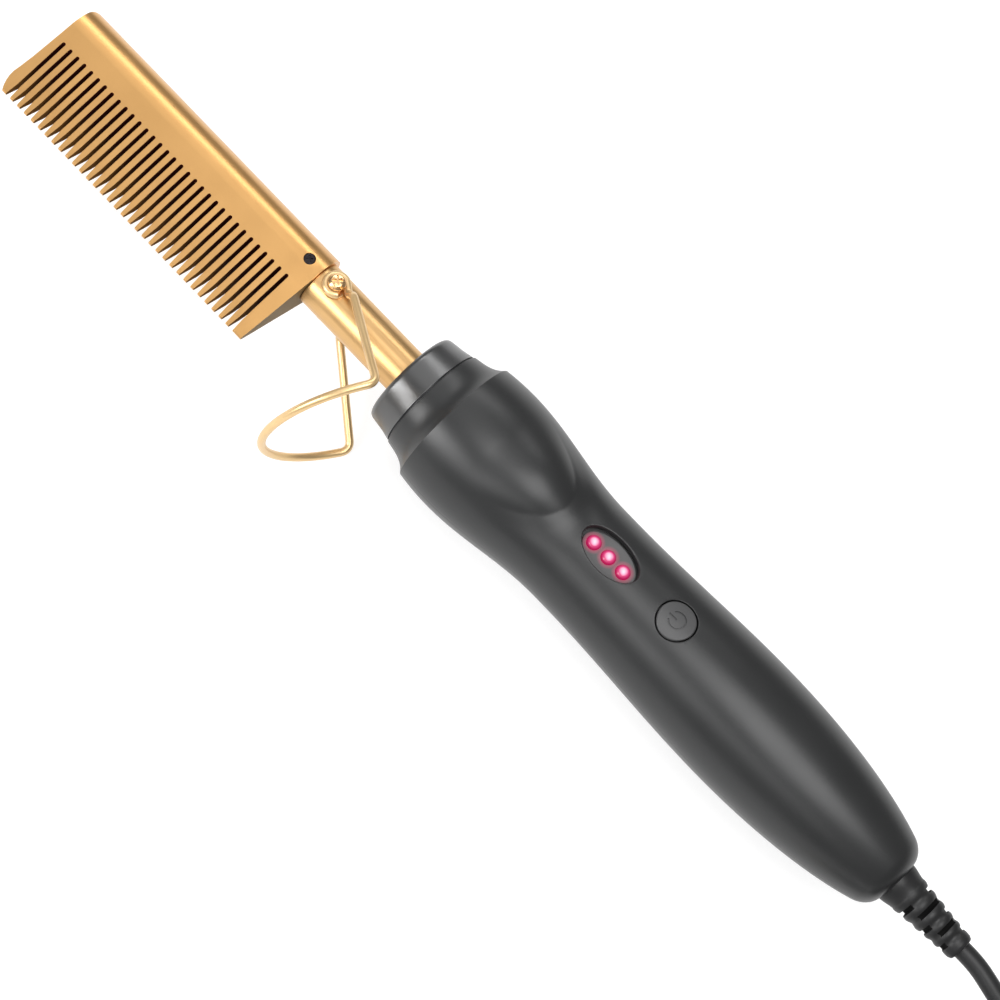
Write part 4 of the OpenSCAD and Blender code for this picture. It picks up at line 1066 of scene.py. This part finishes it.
# %% Window plate
plate_top = waist_r - 2.3
lamp_pitch, lamp_d, lamp_y = 4.9, 3.6, -0.3
plate_rim = oval_rim(window_x + 0.25, window_length / 2 - 0.5, window_width / 2 - 0.45)
foot_rim = oval_rim(window_x, window_length / 2 + 1.5, window_width / 2 + 0.6)
foot_low, foot_top, raised_low = plate_top - 2.8, plate_top - 1.8, plate_top - 2.2
plate = prism("window_plate", [p[:2] for p in foot_rim], foot_low, foot_top, window_skin)
raised = [(x, y - 0.3) for x, y, _, _ in plate_rim]
cut(plate, prism("raised", raised, raised_low, plate_top, window_skin), "UNION")
for i in (-1, 0, 1):
    place = (window_x + i * lamp_pitch, lamp_y, 0)
    cut(plate, drum("lamp_hole", "z", plate_top - 4, plate_top + 1, lamp_d / 2 + 0.1, window_skin, place))
soften(plate, 0.12, 3, 40)
belongs(plate, "handle", "window_plastic", "indicator_plate")

# %% Glow helpers


def place_map(piece, name, place_of):
    """Texture map whose values follow from each point's way from the datum, in millimetres."""
    layer = piece.data.uv_layers.new(name=name)
    for loop in piece.data.loops:
        away = (piece.data.vertices[loop.vertex_index].co - datum) / MM
        layer.data[loop.index].uv = place_of(away.x, away.y)


def map_axes(tree, name):
    source = add_node(tree, "ShaderNodeUVMap", uv_map=name).outputs["UV"]
    return add_node(tree, "ShaderNodeSeparateXYZ", {"Vector": source}).outputs


def colour_ramp(tree, factor, stops):
    """Ramp through (place, colour) stops; the first and the last of them are its two ends."""
    ramp = add_node(tree, "ShaderNodeValToRGB", {"Fac": factor})
    marks = ramp.color_ramp.elements
    for mark, (place, colour) in zip(marks, (stops[0], stops[-1])):
        mark.position, mark.color = place, (*colour, 1)
    for place, colour in stops[1:-1]:
        marks.new(place).color = (*colour, 1)
    return ramp.outputs["Color"]


# %% Red light on the plate
place_map(plate, "from_lamp", lambda x, y: ((x - window_x) / lamp_pitch, (y - lamp_y) / lamp_pitch))
red_tree = window_skin.node_tree
from_lamp = map_axes(red_tree, "from_lamp")
nearest = add_math(red_tree, "ROUND", add_math(
    red_tree, "MAXIMUM", add_math(red_tree, "MINIMUM", from_lamp["X"], 1.0), -1.0))
along = add_math(red_tree, "SUBTRACT", from_lamp["X"], nearest)
squares = [add_math(red_tree, "POWER", add_math(red_tree, "ABSOLUTE", way), 2.0)
           for way in (along, from_lamp["Y"])]
distance = add_math(red_tree, "SQRT", add_math(red_tree, "ADD", *squares))
red = colour_ramp(red_tree, distance, [(0.37, (0.30, 0.0, 0.05)), (0.60, (0.0, 0.0, 0.0))])
feed(red_tree, red_tree.nodes["Principled BSDF"], {"Emission Color": red, "Emission Strength": 1.0})

# %% Lamp glow
glow, glow_tree, glow_shader = new_material("lamp_glow")
feed(glow_tree, glow_shader, {
    "Emission Color": colour_ramp(glow_tree, map_axes(glow_tree, "from_axis")["X"], [
        (0.10, (1.0, 0.82, 0.90)), (0.40, (0.95, 0.42, 0.64)), (0.66, (0.66, 0.06, 0.22)),
        (1.0, (0.33, 0.0, 0.06))]),
    "Emission Strength": 1.0, "Base Color": (0.10, 0.005, 0.01, 1), "Roughness": 0.25})

# %% Lamps
dome_rise, lamp_base, lamp_r = 1.1, plate_top - 4.75, lamp_d / 2
first_lamp_x = window_x - lamp_pitch
dome = [(plate_top + 0.05 + dome_rise * math.sin(a), lamp_r * math.cos(a)) for a in arc(0, 91, 9)]
foot = [(lamp_base, 0), (lamp_base, lamp_r + 0.35), (lamp_base + 1, lamp_r + 0.35), (lamp_base + 1, lamp_r)]
lamp = lathe("lamp", foot + dome, glow, (first_lamp_x, lamp_y, 0), "z", 48)
place_map(lamp, "from_axis", lambda x, y: (math.hypot(x - first_lamp_x, y - lamp_y) / lamp_r, 0.5))
lamps = row("window_lamps", lamp, 3, (lamp_pitch, 0, 0), glow, 50)
belongs(lamps, "handle", "lamp_red", "led_lamps")

# %% [markdown]
# ## Button
# The cap follows the curve of the handle, with a soft edge and a shallow mark pressed into it: a broken
# ring with a bar in the gap. A stack of rings gives the cap, and the mark is cut by thin tools that
# follow the same curve.

# %% Button cap
flange_z = handle_r(button_x) - shell_wall - 2.6
plunger_top, plunger_r = 8.9, 2.0
edge_round = 0.35
cap_r = button_d / 2


def cap_ring(radius, drop=0.0, height=None):
    """Ring on the cap: below the handle's surface, or at a plain height."""
    places = [(button_x + radius * c, radius * s) for c, s in circle(72)]
    return [(x, y, surface_z(x, y) - drop if height is None else height) for x, y in places]


rings = [cap_ring(cap_r * k / 12 * 0.92) for k in range(1, 13)]
rings += [cap_ring(cap_r - edge_round * (1 - math.sin(a)), edge_round * (1 - math.cos(a)))
          for a in (math.radians(d) for d in (0, 22, 45, 68, 90))]
rings += [cap_ring(r, height=flange_z + 1) for r in (cap_r, cap_r + 0.8)]
rings += [cap_ring(r, height=flange_z) for r in (cap_r + 0.8, plunger_r)]
rings += [cap_ring(plunger_r, height=plunger_top)]
button = stack("button_cap", rings, button_skin)

# %% Pressed mark
mark_depth, mark_r, mark_half = 0.3, 2.12, 0.22


def mark_strip(name, line):
    """Thin tool that follows the cap along a line of (x, y) points."""
    rings = []
    for i, (x, y) in enumerate(line):
        before, after = Vector(line[max(i - 1, 0)]), Vector(line[min(i + 1, len(line) - 1)])
        way = (after - before).normalized()
        nx, ny = -way.y * mark_half, way.x * mark_half
        corners = [(x + nx, y + ny), (x - nx, y - ny)]
        low = [(px, py, surface_z(px, py) - mark_depth) for px, py in corners]
        high = [(px, py, surface_z(px, py) + 0.4) for px, py in reversed(corners)]
        rings.append(low + high)
    return stack(name, rings, button_skin)


gap = math.radians(33)
ring_angles = [gap + (2 * math.pi - 2 * gap) * k / 48 for k in range(49)]
arc_line = [(button_x - mark_r * math.cos(a), mark_r * math.sin(a)) for a in ring_angles]
bar_line = [(button_x - 2.5 + 2.3 * k / 8, 0.0) for k in range(9)]
cut(button, mark_strip("ring_mark", arc_line))
cut(button, mark_strip("bar_mark", bar_line))
smooth(button, 40)
belongs(button, "button", "button_plastic", "power_button")

# %% [markdown]
# ## Strain relief
# A rubber sleeve keeps the cord from bending sharply where it leaves the handle. It narrows towards its
# tip, and short slots from opposite sides, a pair at the sides and then a pair at the faces, let it flex.

# %% Relief sleeve
cord_r = cord_d / 2
relief_r0, relief_start_x = relief_hole_r - 0.15, handle_length - 9.6
relief_tip_r, relief_shoulder_r = cord_r + 1.06, cord_r + 2.6
relief_edge_x, tip_round = handle_length + 0.2, 0.5
relief_neck_x = relief_edge_x + 4.2
relief_length = relief_end - handle_length
side_slots = [handle_length + share * relief_length for share in (0.30, 0.59, 0.843)]
face_slots = [handle_length + share * relief_length for share in (0.445, 0.717)]
slot_half, slot_depth, scallop = 0.65, 2.3, 0.42


def relief_r(x):
    """Radius of the sleeve: a flare, then a taper that dips at each slot, so the rings look rounded."""
    if x < relief_neck_x:
        share = ease((x - relief_edge_x) / (relief_neck_x - relief_edge_x))
        return relief_r0 + (relief_shoulder_r - relief_r0) * share
    share = (x - relief_neck_x) / (relief_end - relief_neck_x)
    dip = sum(math.exp(-(((x - place) / 0.85) ** 2)) for place in side_slots + face_slots)
    return relief_shoulder_r + (relief_tip_r - relief_shoulder_r) * share + 0.12 - scallop * dip


sleeve_x = spread(relief_edge_x, relief_neck_x, 0.26) + spread(relief_neck_x, relief_end - tip_round, 0.25)
sleeve_outline = [(relief_start_x, cord_r + 0.05), (relief_start_x, relief_r0)]
sleeve_outline += [(x, relief_r(x)) for x in sleeve_x]
sleeve_outline += [
    (relief_end - tip_round * (1 - math.sin(a)), relief_tip_r - tip_round * (1 - math.cos(a)))
    for a in arc(0, 91, 15)]
relief = lathe("relief_sleeve", sleeve_outline + [(relief_end, cord_r + 0.05)], relief_skin)
for places, quarter in ((side_slots, 0), (face_slots, 90)):
    for x in places:
        floor_r = max(relief_r(x) - slot_depth, cord_r + 0.35)
        for side in (0, 180):
            tool = block("slot", (x - slot_half, floor_r, -7.0), (x + slot_half, 9.0, 7.0), relief_skin)
            turn = Matrix.Rotation(math.radians(quarter + side), 4, "X")
            tool.data.transform(Matrix.Translation(datum) @ turn @ Matrix.Translation(-datum))
            cut(relief, tool)
# Painted shade: faces inside the slots get the near-black slot finish.
relief.data.materials.append(relief_slots)
for face in relief.data.polygons:
    x, y, z = ((face.center - datum) / MM)[:]
    in_slot = min(abs(x - place) for place in side_slots + face_slots) < slot_half + 0.02
    if in_slot and math.hypot(y, z) < relief_r(x) - 0.12:
        face.material_index = 1
soften(relief, 0.2, 3, 40)
belongs(relief, "handle", "relief_rubber", "strain_relief")

# %% [markdown]
# ## Plug and coil tie
# The plug is a moulded body with two flat blades, and it lies on its edge beside the coil. It is a stack
# of rounded sections that turn from a soft rectangle at the face into a circle at the cord.

# %% Plug body
plug_length, plug_neck = 22.0, 12.0
plug_face_x = coil_x - tail_length - plug_neck - plug_length
plug_axis = Vector((0, tail_y, plug_axis_z)) - datum / MM


def soft_section(x, width, height, power):
    """Ring of points across the plug; a power of 2 is an ellipse and a higher one is boxier."""
    ring = []
    for c, s in circle(72):
        y = math.copysign(abs(c) ** (2 / power), c) * width / 2
        z = math.copysign(abs(s) ** (2 / power), s) * height / 2
        ring.append(plug_axis + Vector((x, y, z)))
    return ring


plug_sections = [  # distance from the face, width, height, power
    (0.0, 20.6, 13.6, 5), (0.3, 21.5, 14.5, 5), (0.9, 22.0, 15.0, 5), (5.4, 22.0, 15.0, 5),
    (6.2, 21.2, 14.4, 5), (6.6, 19.4, 13.3, 5), (7.4, 19.0, 13.0, 5), (17.0, 18.2, 12.6, 4.6),
    (20.0, 16.6, 12.2, 4), (21.6, 13.4, 11.2, 3), (22.3, 10.6, 10.2, 2.2)]
plug_sections += [(x, d, d, 2) for x, d in (
    (23.0, 9.9), (24.6, 9.5), (24.8, 8.5), (25.4, 8.5), (25.6, 9.2), (27.2, 8.8), (27.4, 7.9), (28.0, 7.9),
    (28.2, 8.5), (29.8, 8.1), (30.0, 7.3), (30.6, 7.2), (30.8, 7.8), (33.4, 7.0), (34.0, 6.2))]
plug = stack("plug_moulding", [soft_section(plug_face_x + x, *sizes) for x, *sizes in plug_sections],
             relief_skin, 45)
belongs(plug, "handle", "cord_rubber", "plug_body")

# %% Plug blades
blade_spacing, blade_long, blade_thick, blade_wide, blade_inside = 12.7, 16.0, 1.5, 6.35, 6.0
blade_low = plug_axis + Vector((
    plug_face_x - blade_long, -blade_spacing / 2 - blade_thick / 2, -blade_wide / 2))
blade_high = blade_low + Vector((blade_long + blade_inside, blade_thick, blade_wide))
blade = block("blade", blade_low, blade_high, blade_metal)
hole = drum("hole", "x", -2.0, 2.0, 1.6, blade_metal, sides=32)
place_tool(hole, 90, at(*(blade_low + Vector((3.6, blade_thick / 2, blade_wide / 2)))))
cut(blade, hole)
soften(blade, 0.3, 3, 40)
blades = row("plug_blade_pair", blade, 2, (0, blade_spacing, 0), blade_metal, 40)
belongs(blades, "handle", "blade_brass", "plug_blades")

# %% Coil tie
tie_low, tie_high = ((end - datum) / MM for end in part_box("coil_tie"))
tie_half, tie_wall, tie_over = 3.0, 0.5, 4.0
tie_y = (tie_low.y + tie_high.y) / 2


def tie_block(name, wall, half):
    return block(name, (tie_low.x + wall, tie_y - half, tie_low.z + wall),
                 (tie_high.x - wall, tie_y + half, tie_high.z - wall), cord_skin)


tie = tie_block("coil_tie_band", 0.0, tie_half)
soften(tie, 0.4, 3)
cut(tie, tie_block("inside", tie_wall, tie_over))
belongs(tie, "handle", "tie_plastic", "coil_tie")

# %% Cord rides on the handle
belongs(mains_cord, "handle", "cord_rubber", "cord_lead", "cord_coil", "cord_tail")

# %% [markdown]
# ## Pieces that stay as they were packed
# The heater stack, the board and its parts, the leads and the clamp are inside and already have their
# real shape. They only need a finish, which goes into the material slot of each one.

# %% Inner finishes
inner_finish = [
    (bare_aluminium, "heater_spreader"), (copper_strip, "electrode_plates"),
    (dark_ceramic, "ptc_tiles thermistor"), (plain_steel, "shell_screws clamp_screws"),
    (pale_ceramic, "thermal_fuse heat_bushing heater_leads switch_plunger cord_clamp"),
    (relief_skin, "tact_switch controller_chip triac"), (board_mask, "circuit_board"),
    (yellow_case, "dropper_capacitor"), (red_sleeve, "sensor_leads"), (blue_sleeve, "mains_leads"),
    (cord_skin, "cord_stub"),
]
for material, nodes in inner_finish:
    for node in nodes.split():
        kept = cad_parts[node]
        if not kept.material_slots:
            kept.data.materials.append(material)
        for slot in kept.material_slots:
            slot.material = material
    print(material.name, "on", nodes)
